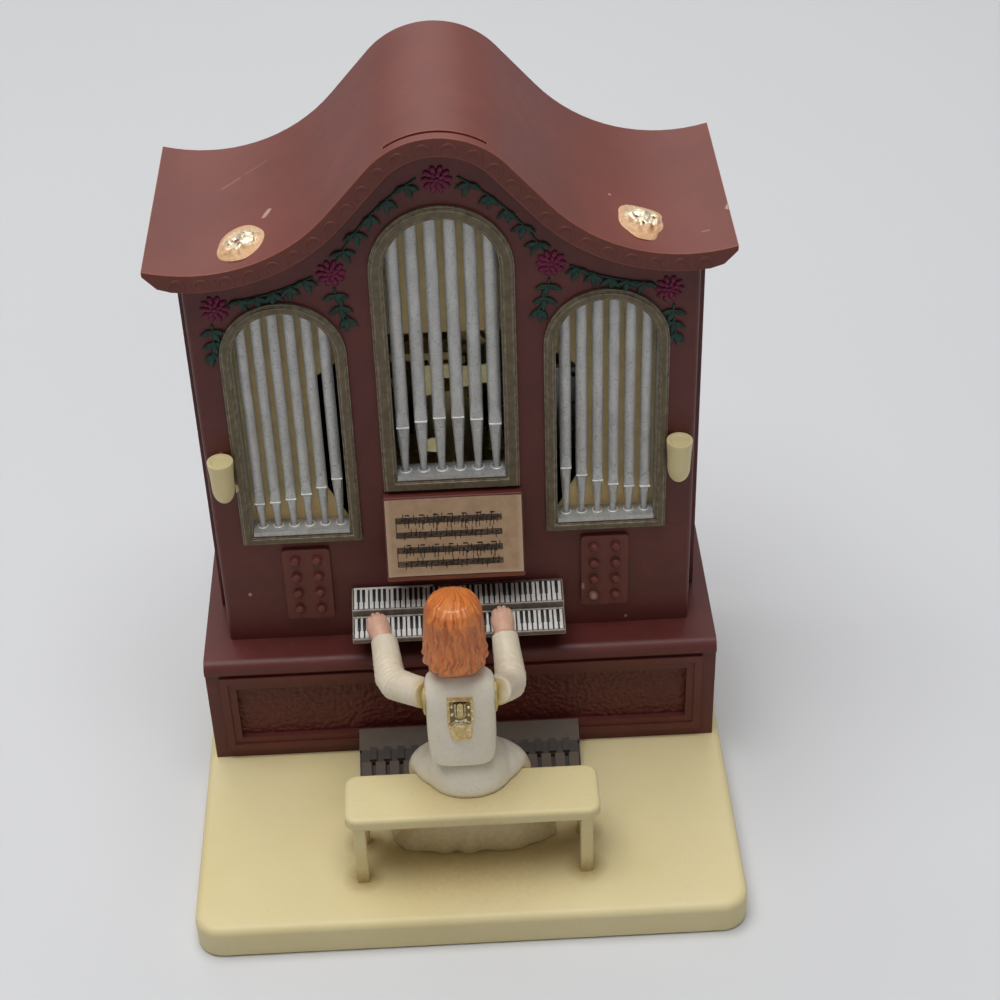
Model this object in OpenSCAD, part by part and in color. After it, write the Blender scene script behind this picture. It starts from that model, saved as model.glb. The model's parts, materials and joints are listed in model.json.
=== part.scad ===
// Wind-up pipe organ music box with a seated organist.
// Millimetres. Origin at the centre of the base's underside, +X to the right, +Y to the back, +Z up.

/* [Base] */
// Width of the base plate
base_w = 101.5; // [100.5:0.5:120]
// Depth of the base plate, front to back
base_d = 92; // [90:0.5:110]
// Height of the base plate
base_h = 7; // [6.8:0.1:10]
// Plan radius of the base's corners
base_corner_r = 5; // [3.5:0.5:8]
// Rounding of the base's edges
base_edge_r = 1.6; // [0.8:0.1:2]
// Walls and top of the base plate
base_wall = 1.8; // [1.4:0.1:2]
// Thickness of the bottom cover
cover_t = 1.4; // [1.2:0.1:1.6]

/* [Console] */
// Width of the console
console_w = 98.2; // [95:0.2:100]
// Depth of the console, front to back
console_d = 45.1; // [44:0.1:48]
// Height of the console above the base
console_h = 25; // [23:0.5:30]
// Wall of the console
console_wall = 2; // [1.6:0.1:2.6]
// How far the console's back stands inside the base's back edge
console_back_inset = 3; // [2:0.1:5]
// Height of the rounded nose along the ledge
nose_h = 3.4; // [2.4:0.1:4]
// How far the nose stands proud of the front
nose_step = 0.7; // [0.4:0.1:1.2]
// Width of the grained front panel
panel_w = 87; // [70:0.5:88]
// Height of the grained front panel
panel_h = 13; // [9:0.5:14]
// Depth of the panel's recess
panel_recess = 0.9; // [0.4:0.1:1.1]
// Width of each step of the frame round the panel
panel_frame = 1.5; // [0.8:0.1:1.6]

/* [Case] */
// Width of the facade
tower_w = 88.6; // [86:0.2:90]
// Wall of the facade shell
tower_wall = 2; // [1.6:0.1:2.4]
// How far the facade stands behind the console's front
facade_setback = 7.2; // [6:0.1:8]
// Depth of the facade shell's side returns
return_d = 14; // [12:0.5:18]
// Wall of the rear shell
shell_t = 2; // [1.6:0.1:2.4]
// Where the rear shell starts, behind the facade
shell_start = 10.4; // [8:0.1:11.5]
// Thickness of the back cover
back_t = 2; // [1.6:0.1:2.4]

/* [Roof] */
// Width of the roof
roof_w = 99.8; // [97:0.2:102]
// Height of the roof's valley above the ledge
eave_h = 84.2; // [83.5:0.2:90]
// Rise of the crest above the valley
crest_rise = 23.6; // [23:0.2:25]
// Radius of the crest
crest_r = 15.2; // [14:0.1:15.6]
// Radius of the valley
valley_r = 30.7; // [29:0.1:31]
// Distance of the valley from the middle
valley_x = 41.5; // [41:0.1:43]
// Thickness of the roof sheet
roof_t = 2.2; // [1.6:0.1:2.6]
// Overhang in front of the facade
roof_front = 3.3; // [2.6:0.1:5]
// Overhang behind the case
roof_back = 2.5; // [2.2:0.1:5]
// Height of the front fascia
fascia_h = 3.4; // [2.8:0.1:4.4]
// Thickness of the front fascia
fascia_t = 2.2; // [1.4:0.1:2.4]
// Length of the slit in the crest
slit_w = 17; // [10:0.5:20]

/* [Windows] */
// Distance of a side window from the middle
side_win_x = 28.15; // [27.5:0.05:28.6]
// Outer width of a side window's frame
side_win_w = 22.1; // [20:0.1:22.6]
// Gap between a side window's top and the level of the roof's valley
side_win_gap = 8; // [7.4:0.1:14]
// Height of a side window above the ledge
side_win_sill = 23.8; // [23.2:0.1:25]
// Outer width of the centre window's frame
centre_win_w = 24.8; // [22:0.1:26]
// Outer height of the centre window's frame
centre_win_h = 59; // [54:0.2:59.4]
// Height of the centre window above the ledge
centre_win_sill = 34.8; // [34.6:0.1:36]
// Width of a side frame's band
side_band = 2.1; // [1.6:0.1:2.4]
// Width of the centre frame's band
centre_band = 2.5; // [1.8:0.1:2.8]
// How far the frames stand proud of the facade
frame_proud = 1.2; // [0.8:0.1:1.6]

/* [Pipes] */
// Pipes in each window
pipe_n = 6; // [4:1:6]
// Spacing of the pipes in a side window
side_pitch = 2.9; // [2.6:0.05:2.95]
// Spacing of the pipes in the centre window
centre_pitch = 3.32; // [3:0.05:3.35]
// Diameter of a side window's pipes
side_pipe_d = 2.1; // [1.6:0.05:2.3]
// Diameter of the centre window's pipes
centre_pipe_d = 2.4; // [1.8:0.05:2.6]
// Height of the pipes' flattened upper lips
lip_h = 3.4; // [2:0.1:4.5]
// Height of the lowest mouth above the foot shelf
mouth_h = 5.5; // [4:0.1:7]

/* [Fittings] */
// Width of the music desk
desk_w = 25.6; // [20:0.2:28]
// Height of the music desk
desk_h = 16.4; // [13:0.2:16.8]
// Width of the keyboard
keyboard_w = 40; // [30:0.5:44]
// Width of a stop panel
stop_w = 8.9; // [7:0.1:10]
// Height of a stop panel
stop_h = 16.8; // [14:0.1:18]
// Distance of a stop panel from the middle
stop_x = 28; // [26.5:0.1:32]
// Diameter of a candle cup's rim
lamp_d = 4.7; // [4:0.1:5.4]
// Height of a candle cup
lamp_h = 9.2; // [8:0.1:11]
// Width of the pedalboard
pedal_w = 43; // [36:0.5:50]
// Number of long pedals
pedal_n = 16; // [10:1:18]

/* [Organist and bench] */
// Width of the bench seat
seat_w = 46.6; // [42:0.2:52]
// Depth of the bench seat
seat_d = 12; // [10:0.2:14]
// Thickness of the bench seat
seat_t = 2.6; // [2:0.1:3]
// Height of the bench seat above the base
seat_h = 16.5; // [15:0.1:18]
// Width of a bench leg
leg_w = 2.3; // [1.8:0.1:3]
// Distance of the bench's front edge from the console
seat_gap = 22.1; // [21:0.1:23]
// Sideways place of the bench and gown
bench_x = 0.9; // [0:0.1:1.2]
// Half width of the gown's hem
hem_w = 16.3; // [14:0.1:16.8]
// Radius of the gown's lap
lap_r = 11.4; // [10:0.1:11.6]
// Width of the torso
torso_w = 12.8; // [11:0.1:14]
// Height of the torso
torso_h = 21; // [19:0.1:22]
// Width of the head with its hair
head_w = 11.4; // [10:0.1:12.4]
// Height of the head with its hair
head_h = 17; // [15:0.1:18]
// Radius of a sleeve at the elbow
sleeve_r = 2.8; // [2.4:0.1:3]
// Radius of the turning post
post_r = 1.4; // [1.2:0.05:1.6]

/* [Movement] */
// Radius of the spring housing
housing_r = 13; // [12:0.1:13.4]
// Depth of the spring housing
housing_d = 9.2; // [8:0.1:10]
// Radius of the winding arbor
arbor_r = 2; // [1.6:0.1:2.2]
// Teeth of the great wheel
crown_n = 36; // [36:2:40]
// Teeth of the cylinder's pinion
pinion_n = 10; // [10:2:12]
// Module of the crown teeth
crown_m = 0.6; // [0.56:0.01:0.62]
// Radius of the pinned cylinder
drum_r = 6.5; // [5.5:0.1:6.6]
// Length of the pinned cylinder
drum_l = 19; // [17:0.2:19.6]
// Notes of the comb
comb_n = 18; // [12:1:18]
// Teeth of the governor gear
gov_gear_n = 56; // [52:4:60]
// Teeth of the governor pinion
gov_pinion_n = 8; // [8:1:8]
// Module of the governor gears
gov_m = 0.4; // [0.38:0.01:0.42]
// Radius of the drive shaft
shaft_r = 1; // [0.8:0.05:1.1]
// Throw of the crank
crank_throw = 6.5; // [5:0.1:7]
// Width across the wings of the winding key
key_w = 23; // [18:0.5:26]

/* [Hidden] */
$fn = 48;
eps = 0.01;
tall = 200;
// Clearances: running fits, seats of separate pieces and free gaps between moving pieces
run_gap = 0.05;
seat_clear = 0.1;
free_gap = 0.4;

// Main levels and faces
ledge_z = base_h + console_h;
back_y = base_d / 2 - console_back_inset;
con_y = back_y - console_d;
facade_y = con_y + facade_setback;
tower_x = tower_w / 2;
shell_x = tower_x + seat_clear + shell_t;
shell_y = facade_y + shell_start;

// Roof: two arcs joined by a straight tangent on each side
valley_z = ledge_z + eave_h;
crest_z = valley_z + crest_rise;
crest_c = [0, crest_z - crest_r];
valley_c = [valley_x, valley_z + valley_r];
arc_line = valley_c - crest_c;
tangent_a = asin((crest_r + valley_r) / norm(arc_line)) - atan2(arc_line[1], arc_line[0]);
roof_x = roof_w / 2;
roof_y = facade_y - roof_front;
under_roof_t = roof_t + seat_clear;
arc_steps = 16;

// Panel on the console's front
panel_z = base_h + 5.3;

// Windows: outer height of the side frames, inner edges, pipes and card
side_win_h = eave_h - side_win_sill - side_win_gap;
rim_t = 0.9;
card_t = 0.3;
card_y = facade_y + 2.9;
pipe_y = facade_y + 1.3;
shelf_t = 1;
shelf_proud = frame_proud - 0.3;
mouth_step = 0.2;
mouth_drop = 0.3;

// Keyboard and desk on the facade
keys_z = ledge_z + 11.6;
key_slope = 15;
manual_d = 4.6;
manual_rise = 1.65;
keys_t = 0.3;
keys_reach = 10.1;
desk_z = ledge_z + 17.9;
desk_reach = 6.2;
desk_lip = 1.2;
paper_t = 0.25;
stop_z = ledge_z + 5.4;
stop_t = 0.8;
knob_r = 0.92;
lamp_x = 41.2;
lamp_z = ledge_z + 35.7;
lamp_bowl = 3.2;

// Pedalboard, bench and gown
pedal_d = 9.2;
pedal_back_h = 6.5;
pedal_front_h = 1.8;
pedal_plate = 3.9;
sharp_len = 2.2;
sharp_rise = 0.7;
seat_z = base_h + seat_h;
seat_y = con_y - seat_gap - seat_d / 2;
leg_inset = 2.6;
skirt_front = con_y - pedal_d - 0.6;
skirt_back = con_y - 27.9;
post_y = con_y - 24.9;
lap_y = con_y - 19.9;
lap_h = 4.6;
lap_deep = 5.3;
hip_y = con_y - 21.4;
hip_w = lap_r - 0.8;
hip_deep = 7.6;
hip_h = 5.2;
seat_dome_y = con_y - 22.2;
seat_dome_h = 8;
seat_dome_w = 8.4;
seat_dome_deep = 7.7;
skirt_waist = 0.42;
skirt_draw = 0.3;
skirt_back_in = 0.8;
torso_z = seat_z + 6.6;
shoulder_z = torso_z + torso_h - 3;
head_z = torso_z + torso_h + 8;
head_x = -0.8;
torso_x = -0.3;

// Movement, hung on the back cover
standoff_l = 2;
bed_t = 1.6;
bed_y = back_y - standoff_l - bed_t;
arbor_z = ledge_z + 61;
wheel_t = 2.2;
wheel_y = bed_y - housing_d - 0.6 - wheel_t;
crown_r = crown_m * crown_n / 2;
pinion_r = crown_m * pinion_n / 2;
addendum = 0.8 * crown_m;
dedendum = 1.15 * crown_m;
tooth_len = 2;
shaft_y = wheel_y - dedendum - pinion_r;
mesh_z = arbor_z - crown_r;
pinion_face = 1.6;
drum_z = mesh_z - pinion_face / 2 - 1.8 - drum_l;
pin_h = 0.5;
gov_gear_r = gov_m * gov_gear_n / 2;
gov_pinion_r = gov_m * gov_pinion_n / 2;
gov_x = -(gov_gear_r + gov_pinion_r);
gov_z = drum_z - 1.7;
gov_face = 1;
fly_r = 5;
fly_z = gov_z + 4;
fly_h = 12;
fly_top = gov_z + 19.4;
bearing_t = 1.6;
low_bearing_z = gov_z - free_gap - bearing_t;
top_bearing_z = mesh_z + pinion_face / 2 + 0.8;
bed_x = [-22, 28];
bed_z = [low_bearing_z - 2, arbor_z + housing_r + 2];
bed_screws = [for (x = [bed_x[0] + 3, bed_x[1] - 3]) for (z = [bed_z[0] + 3, bed_z[1] - 3]) [x, z]];
comb_t = 0.6;
comb_heel = [20, 26];

// Crank and rocker in the base's hollow
hollow_top = base_h - base_wall;
crank_t = 1.2;
crank_z = hollow_top - free_gap - crank_t;
lever_t = 1.2;
lever_z = cover_t + free_gap;
lever_reach = shaft_y - post_y;
crank_pin_r = 0.9;
open_pivot_gap = 0.25;
screw_r = 0.85;
boss_inset = 2.2;
pilot_r = 0.9;
cover_screw_x = base_w / 2 - base_wall - 4;
cover_screw_y = base_d / 2 - base_wall - 4;

// Colours of the plastics and metals
cream = [0.87, 0.80, 0.56];
brown = [0.36, 0.17, 0.15];
bronze = [0.30, 0.25, 0.18];
silver = [0.66, 0.66, 0.67];
gold = [0.74, 0.58, 0.28];
brass = [0.78, 0.62, 0.30];
steel = [0.60, 0.61, 0.63];
white = [0.88, 0.86, 0.79];
skin = [0.85, 0.64, 0.50];
ginger = [0.72, 0.38, 0.18];

// Points of an arc, as a list
function arc(c, r, from, to, n) =
    [for (i = [0:n]) c + r * [cos(from + (to - from) * i / n), sin(from + (to - from) * i / n)]];

function flip(points) = [for (i = [len(points) - 1:-1:0]) [-points[i][0], points[i][1]]];

function backwards(points) = [for (i = [len(points) - 1:-1:0]) points[i]];

// Right half of the roof's line, sunk by a depth and ending at a half width
function roof_half(sink, half) =
    concat(
        arc(crest_c, crest_r - sink, 90, 90 - tangent_a, arc_steps),
        arc(valley_c, valley_r + sink, 270 - tangent_a,
            270 + asin((half - valley_x) / (valley_r + sink)), arc_steps)
    );

function roof_line(sink, half) = concat(flip(roof_half(sink, half)), roof_half(sink, half));

// The underside of a roof band, drawn up to a thin lip over a rounded end
function lip(x, depth, end) =
    depth * (0.3 + 0.7 * sqrt(max(0, 1 - pow(max(0, (x - roof_x + end) / end), 2))));

function band_half(depth, end) =
    let (top = roof_half(0, roof_x), low = roof_half(depth, roof_x))
    [for (i = [0:len(top) - 1]) top[i] + (low[i] - top[i]) * lip(top[i][0], depth, end) / depth];

module roof_band(depth, end) {
    low = band_half(depth, end);
    polygon(concat(roof_line(0, roof_x), backwards(low), [for (p = low) [-p[0], p[1]]]));
}

// The outline of what stands under the roof
module under_roof(half, bottom) {
    polygon(concat(roof_line(under_roof_t, half), [[half, bottom], [-half, bottom]]));
}

// Outlines drawn in XZ and pulled along Y, and drawn in YZ and pulled along X
module along_y(from, depth) {
    translate([0, from + depth, 0]) rotate([90, 0, 0]) linear_extrude(depth) children();
}

module along_x(from, width) {
    translate([from, 0, 0]) rotate([90, 0, 90]) linear_extrude(width) children();
}

// A cylinder along +Y
module rod_y(x, y, z, r, l) {
    translate([x, y, z]) rotate([-90, 0, 0]) cylinder(h = l, r = r);
}

module rod_z(x, y, z, r, l) {
    translate([x, y, z]) cylinder(h = l, r = r);
}

// A flat-headed screw along +Y, and one along +Z
module screw_y(x, y, z, head_r, head_t, l) {
    rod_y(x, y - head_t, z, head_r, head_t);
    rod_y(x, y, z, screw_r, l);
}

module screw_z(x, y, z, head_r, head_t, l) {
    rod_z(x, y, z, head_r, head_t);
    rod_z(x, y, z, screw_r, l);
}

module ring_2d(w, h, t) {
    difference() {
        square([w, h], center = true);
        square([w - 2 * t, h - 2 * t], center = true);
    }
}

module round_rect(w, d, r) {
    polygon(concat(
        arc([w / 2 - r, d / 2 - r], r, 0, 90, 8), arc([r - w / 2, d / 2 - r], r, 90, 180, 8),
        arc([r - w / 2, r - d / 2], r, 180, 270, 8), arc([w / 2 - r, r - d / 2], r, 270, 360, 8)
    ));
}

// A slab with rounded corners and soft edges
module soft_slab(w, d, h, r, edge) {
    hull() for (x = [-1, 1]) for (y = [-1, 1])
        translate([x * (w / 2 - r), y * (d / 2 - r), 0]) rotate_extrude($fn = 32)
            polygon(concat([[0, 0]], arc([r - edge / 2, edge / 2], edge / 2, 270, 360, 4),
                arc([r - edge, h - edge], edge, 0, 90, 6), [[0, h]]));
}

// Closed solid through a stack of rings with equal counts of points
module loft(rings) {
    n = len(rings[0]);
    last = (len(rings) - 1) * n;
    points = concat([for (r = rings) for (p = r) p], [mean(rings[0]), mean(rings[len(rings) - 1])]);
    sides = [for (k = [0:len(rings) - 2]) for (i = [0:n - 1]) for (f =
        let (a = k * n + i, b = k * n + (i + 1) % n) [[a, a + n, b + n], [a, b + n, b]]) f];
    low = [for (i = [0:n - 1]) [last + n, i, (i + 1) % n]];
    high = [for (i = [0:n - 1]) [last + n + 1, last + (i + 1) % n, last + i]];
    polyhedron(points, concat(sides, low, high));
}

function mean(points) = [for (k = [0:2]) sum([for (p = points) p[k]]) / len(points)];

function sum(values) = [for (i = 0, s = values[0]; i < len(values); i = i + 1,
    s = s + (i < len(values) ? values[i] : 0)) s][len(values) - 1];

function signed_pow(v, e) = sign(v) * pow(abs(v), e);

// A level oval ring: half sizes a and b, squareness p, and a wave of given depth and count
function oval(x, y, z, a, b, p, n, wave = 0, waves = 0) =
    [for (i = [0:n - 1]) let (t = 360 * i / n, s = 1 + wave * cos(waves * t))
        [x + s * a * signed_pow(cos(t), 2 / p), y + s * b * signed_pow(sin(t), 2 / p), z]];

// Rings along a bent limb, each square to the limb's run
function unit(v) = v / norm(v);

function limb(points, radii, n) =
    [for (k = [0:len(points) - 1])
        let (
            d = unit(points[min(k + 1, len(points) - 1)] - points[max(k - 1, 0)]),
            u = unit(cross([0, 0, 1], d)),
            v = cross(d, u)
        )
        [for (i = [0:n - 1]) points[k] + radii[k] * (cos(360 * i / n) * u + sin(360 * i / n) * v)]];

// A gear's flat outline with straight-flanked teeth, the first tooth on +X
module gear_2d(teeth, m, tip, root, half_tip, half_root) {
    r = m * teeth / 2;
    circle(r - root);
    for (i = [0:teeth - 1]) rotate(360 * i / teeth)
        polygon([[r - root - 2 * m * root, -half_root], [r + tip, -half_tip], [r + tip, half_tip],
            [r - root - 2 * m * root, half_root]]);
}

// Base
module base_plate() color(cream) {
    difference() {
        soft_slab(base_w, base_d, base_h, base_corner_r, base_edge_r);
        translate([0, 0, -eps]) linear_extrude(hollow_top + eps)
            round_rect(base_w - 2 * base_wall, base_d - 2 * base_wall, base_corner_r - base_wall);
        rod_z(0, post_y, 0, post_r + 1 + seat_clear / 2, tall);
        rod_z(0, shaft_y, 0, shaft_r + run_gap, tall);
    }
    translate([0, 0, cover_t]) linear_extrude(hollow_top - cover_t + eps) intersection() {
        round_rect(base_w - base_wall, base_d - base_wall, base_corner_r - base_wall / 2);
        for (x = [-1, 1]) for (y = [-1, 1]) difference() {
            translate([x * (cover_screw_x + 2), y * (cover_screw_y + 2)]) square(8.4, center = true);
            translate([x * cover_screw_x, y * cover_screw_y]) circle(pilot_r);
        }
    }
}

module bottom_cover() color(cream) {
    difference() {
        linear_extrude(cover_t) round_rect(base_w - 2 * base_wall - 2 * seat_clear,
            base_d - 2 * base_wall - 2 * seat_clear, base_corner_r - base_wall);
        for (x = [-1, 1]) for (y = [-1, 1]) {
            rod_z(x * cover_screw_x, y * cover_screw_y, -eps, 2.1, 0.9 + eps);
            rod_z(x * cover_screw_x, y * cover_screw_y, 0, screw_r + seat_clear, cover_t + 1);
        }
    }
}

module cover_screws() color(steel) {
    for (x = [-1, 1]) for (y = [-1, 1])
        screw_z(x * cover_screw_x, y * cover_screw_y, 0.1, 2, 0.8, 4.2);
}

module post_bush() color(brass) {
    difference() {
        union() {
            rod_z(0, post_y, hollow_top, post_r + 1, base_wall);
            rod_z(0, post_y, hollow_top - 0.5, post_r + 2, 0.5);
        }
        rod_z(0, post_y, 0, post_r + run_gap, tall);
    }
}

// Case
module console() color(brown) {
    inner_x = console_w / 2 - console_wall;
    face_y = con_y + nose_step;
    nose_r = nose_h * 0.55;
    difference() {
        union() {
            difference() {
                along_x(-console_w / 2, console_w) polygon(concat(
                    [[back_y, base_h], [face_y, base_h], [face_y, ledge_z - nose_h],
                        [con_y, ledge_z - nose_h + nose_step]],
                    arc([con_y + nose_r, ledge_z - nose_r], nose_r, 180, 90, 6), [[back_y, ledge_z]]));
                along_x(-inner_x, 2 * inner_x) polygon([[face_y + console_wall, base_h - 1],
                    [face_y + console_wall, ledge_z - console_wall], [back_y + 1, ledge_z - console_wall],
                    [back_y + 1, base_h - 1]]);
            }
            translate([0, 0, panel_z + panel_h / 2]) {
                along_y(face_y - nose_step, nose_step + eps)
                    ring_2d(panel_w + 4 * panel_frame, panel_h + 4 * panel_frame, panel_frame);
                along_y(face_y - nose_step / 2, nose_step / 2 + eps)
                    ring_2d(panel_w + 2 * panel_frame + eps, panel_h + 2 * panel_frame + eps, panel_frame);
            }
            for (x = [-1, 1]) rod_y(x * (inner_x - boss_inset), back_y - 8, base_h + 6, 3, 8);
        }
        translate([0, 0, panel_z + panel_h / 2]) along_y(face_y - 1, 1 + panel_recess)
            square([panel_w, panel_h], center = true);
        translate([-tower_x + tower_wall, facade_y + tower_wall, ledge_z - console_wall - 1])
            cube([tower_w - 2 * tower_wall, back_y - facade_y, console_wall + 2]);
        for (x = [-1, 1]) rod_y(x * (inner_x - boss_inset), back_y - 6, base_h + 6, pilot_r, 7);
    }
}

// A window's outline, grown or shrunk by a margin
module arch(w, h, grow) {
    half = w / 2 + grow;
    polygon(concat([[half, -grow]], arc([0, h - w / 2], half, 0, 180, 24), [[-half, -grow]]));
}

module front_case() color(brown) {
    difference() {
        along_y(facade_y, return_d) under_roof(tower_x, ledge_z);
        along_y(facade_y + tower_wall, return_d) translate([tower_wall - tower_x, 0])
            square([tower_w - 2 * tower_wall, tall]);
        along_y(facade_y - 1, tower_wall + 2) {
            for (x = [-1, 1]) translate([x * side_win_x, ledge_z + side_win_sill])
                arch(side_win_w, side_win_h, rim_t + seat_clear - side_band);
            translate([0, ledge_z + centre_win_sill])
                arch(centre_win_w, centre_win_h, rim_t + seat_clear - centre_band);
        }
    }
}

rear_boss_z = [ledge_z + 8, ledge_z + 66];
rear_boss_x = shell_x - shell_t - 2.6;

module rear_case() color(brown) {
    difference() {
        union() {
            along_y(shell_y, back_y - shell_y) difference() {
                under_roof(shell_x, ledge_z);
                translate([shell_t - shell_x, 0]) square([2 * (shell_x - shell_t), tall]);
            }
            along_y(back_y - 2, 2) difference() {
                under_roof(shell_x, ledge_z);
                translate([0, -5]) under_roof(shell_x - shell_t - 4, ledge_z + 9);
            }
            for (x = [-1, 1]) for (z = rear_boss_z) rod_y(x * rear_boss_x, back_y - 8, z, 3, 8);
        }
        for (x = [-1, 1]) for (z = rear_boss_z) rod_y(x * rear_boss_x, back_y - 6, z, pilot_r, 7);
    }
}

module back_cover() color(brown) {
    low_x = console_w / 2 - console_wall - boss_inset;
    difference() {
        union() {
            along_y(back_y, back_t) {
                under_roof(shell_x, ledge_z - eps);
                translate([-console_w / 2, base_h]) square([console_w, console_h]);
            }
            for (s = bed_screws) rod_y(s[0], back_y - standoff_l, s[1], 2.6, standoff_l + eps);
        }
        for (s = bed_screws) rod_y(s[0], back_y - standoff_l - 1, s[1], pilot_r, standoff_l + 2);
        rod_y(0, back_y - 1, arbor_z, arbor_r + 1, back_t + 2);
        for (x = [-1, 1]) rod_y(x * low_x, back_y - 1, base_h + 6, screw_r + seat_clear, back_t + 2);
        for (x = [-1, 1]) for (z = rear_boss_z)
            rod_y(x * rear_boss_x, back_y - 1, z, screw_r + seat_clear, back_t + 2);
    }
}

module back_screws() color(steel) {
    low_x = console_w / 2 - console_wall - boss_inset;
    spots = concat([for (x = [-1, 1]) [x * low_x, base_h + 6]],
        [for (x = [-1, 1]) for (z = rear_boss_z) [x * rear_boss_x, z]]);
    for (s = spots) {
        rod_y(s[0], back_y - 5, s[1], screw_r, back_t + 5);
        rod_y(s[0], back_y + back_t, s[1], 1.9, 1);
    }
}

module roof() color(brown) {
    depth = back_y + roof_back - roof_y;
    difference() {
        union() {
            along_y(roof_y, depth) roof_band(roof_t, 2.4);
            along_y(roof_y, fascia_t) roof_band(fascia_h, 5);
        }
        along_y(roof_y + 2, 0.7) intersection() {
            polygon(concat(arc(crest_c, crest_r + 1, 0, 180, 2 * arc_steps),
                arc(crest_c, crest_r - 0.5, 180, 0, 2 * arc_steps)));
            translate([-slit_w / 2, crest_z - crest_r / 2]) square([slit_w, crest_r]);
        }
    }
}

// Windows
module window_frame(x, sill, w, h, band) color(bronze) {
    step = 0.5;
    translate([x, 0, ledge_z + sill]) {
        along_y(facade_y - frame_proud + step, frame_proud - step) difference() {
            arch(w, h, 0);
            arch(w, h, -band);
        }
        along_y(facade_y - frame_proud, step) difference() {
            arch(w, h, -step);
            arch(w, h, step - band);
        }
    }
}

module window_frame_left() window_frame(-side_win_x, side_win_sill, side_win_w, side_win_h, side_band);
module window_frame_right() window_frame(side_win_x, side_win_sill, side_win_w, side_win_h, side_band);
module window_frame_centre() window_frame(0, centre_win_sill, centre_win_w, centre_win_h, centre_band);

// One organ pipe on the shelf: tapered foot, mouth, flattened lips and body
module pipe(x, foot, mouth, top, r) {
    flat = 0.75 * r;
    difference() {
        union() {
            translate([x, pipe_y, foot]) cylinder(h = mouth - foot, r1 = 0.45 * r, r2 = r);
            rod_z(x, pipe_y, mouth, r, top - mouth);
        }
        translate([x - r, pipe_y - 2 * r, mouth - lip_h * 0.6]) cube([2 * r, 2 * r - flat, lip_h * 1.6]);
        translate([x - r, pipe_y - 2 * r, mouth - 0.2]) cube([2 * r, 1.6 * r, 0.5]);
    }
}

module pipe_rank(x, sill, w, h, band, pitch, d, mouths) color(silver) {
    z0 = ledge_z + sill + band;
    half = w / 2 - band;
    foot = z0 + shelf_t;
    rim_y = facade_y + seat_clear;
    translate([x, 0, ledge_z + sill]) along_y(rim_y, card_y - rim_y) difference() {
        arch(w, h, rim_t - band);
        arch(w, h, -band);
    }
    translate([x - half + seat_clear, facade_y - shelf_proud, z0 + seat_clear])
        cube([2 * (half - seat_clear), card_y - facade_y + shelf_proud, shelf_t - seat_clear]);
    intersection() {
        translate([x, 0, ledge_z + sill]) along_y(facade_y - 2, 8) arch(w, h, rim_t / 2 - band);
        union() for (i = [0:pipe_n - 1])
            pipe(x + (i - (pipe_n - 1) / 2) * pitch, foot - eps, foot + mouth_h + mouths[i],
                z0 + h, d / 2);
    }
}

rising = [for (i = [0:pipe_n - 1]) mouth_step * i * i];
domed = [for (i = [0:pipe_n - 1]) 6.3 - mouth_drop * pow(i - (pipe_n - 1) / 2, 2)];

module pipes_left()
    pipe_rank(-side_win_x, side_win_sill, side_win_w, side_win_h, side_band, side_pitch, side_pipe_d,
        rising);
module pipes_right()
    pipe_rank(side_win_x, side_win_sill, side_win_w, side_win_h, side_band, side_pitch, side_pipe_d,
        backwards(rising));
module pipes_centre()
    pipe_rank(0, centre_win_sill, centre_win_w, centre_win_h, centre_band, centre_pitch, centre_pipe_d,
        domed);

module backing_card() color(gold) {
    card_x = tower_x - tower_wall - 0.5;
    hole = [[24, 44], [24, 58], [12, 66.8], [-12, 66.8], [-24, 58], [-24, 36], [-18, 24], [18, 24], [24, 36]];
    along_y(card_y, card_t) difference() {
        translate([0, -1.5]) under_roof(card_x, ledge_z + side_win_sill + 1.5);
        translate([0, ledge_z]) polygon(hole);
    }
}

// Fittings on the facade
module desk_face() {
    polygon([[facade_y, desk_z], [facade_y - desk_reach, desk_z],
        [facade_y - desk_reach - 0.2, desk_z + desk_lip], [facade_y - 2, desk_z + desk_h],
        [facade_y, desk_z + desk_h]]);
}

module music_desk() color(brown * 1.25) {
    along_x(-desk_w / 2, desk_w) desk_face();
}

module sheet_music() color([0.70, 0.56, 0.40]) {
    run = [desk_reach - 1.8, desk_h - desk_lip];
    lean = atan2(run[0], run[1]);
    margin = 0.3;
    translate([0, facade_y - desk_reach - 0.2, desk_z + desk_lip]) rotate([-lean, 0, 0])
        translate([-desk_w / 2 + margin, -paper_t, margin])
            cube([desk_w - 2 * margin, paper_t, norm(run) - 2 * margin]);
}

// Painted garland in relief: flowers at the crest, beside it and at the corners, with sprigs between
flower_r = 2.6;
garland_t = 0.5;
top_flower = [0, crest_z - 9.2];
mid_flower = [18.6, valley_z - 2.6];
end_flower = [38.9, valley_z - 8.7];

module flower_2d() {
    petals = 7;
    circle(0.55 * flower_r);
    for (i = [0:petals - 1]) rotate(360 * i / petals) translate([0.62 * flower_r, 0])
        circle(0.38 * flower_r, $fn = 16);
}

module garland_flowers() color([0.45, 0.13, 0.25]) {
    along_y(facade_y - garland_t, garland_t) {
        translate(top_flower) flower_2d();
        for (x = [-1, 1]) for (p = [mid_flower, end_flower]) translate([x * p[0], p[1]]) flower_2d();
    }
}

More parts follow.
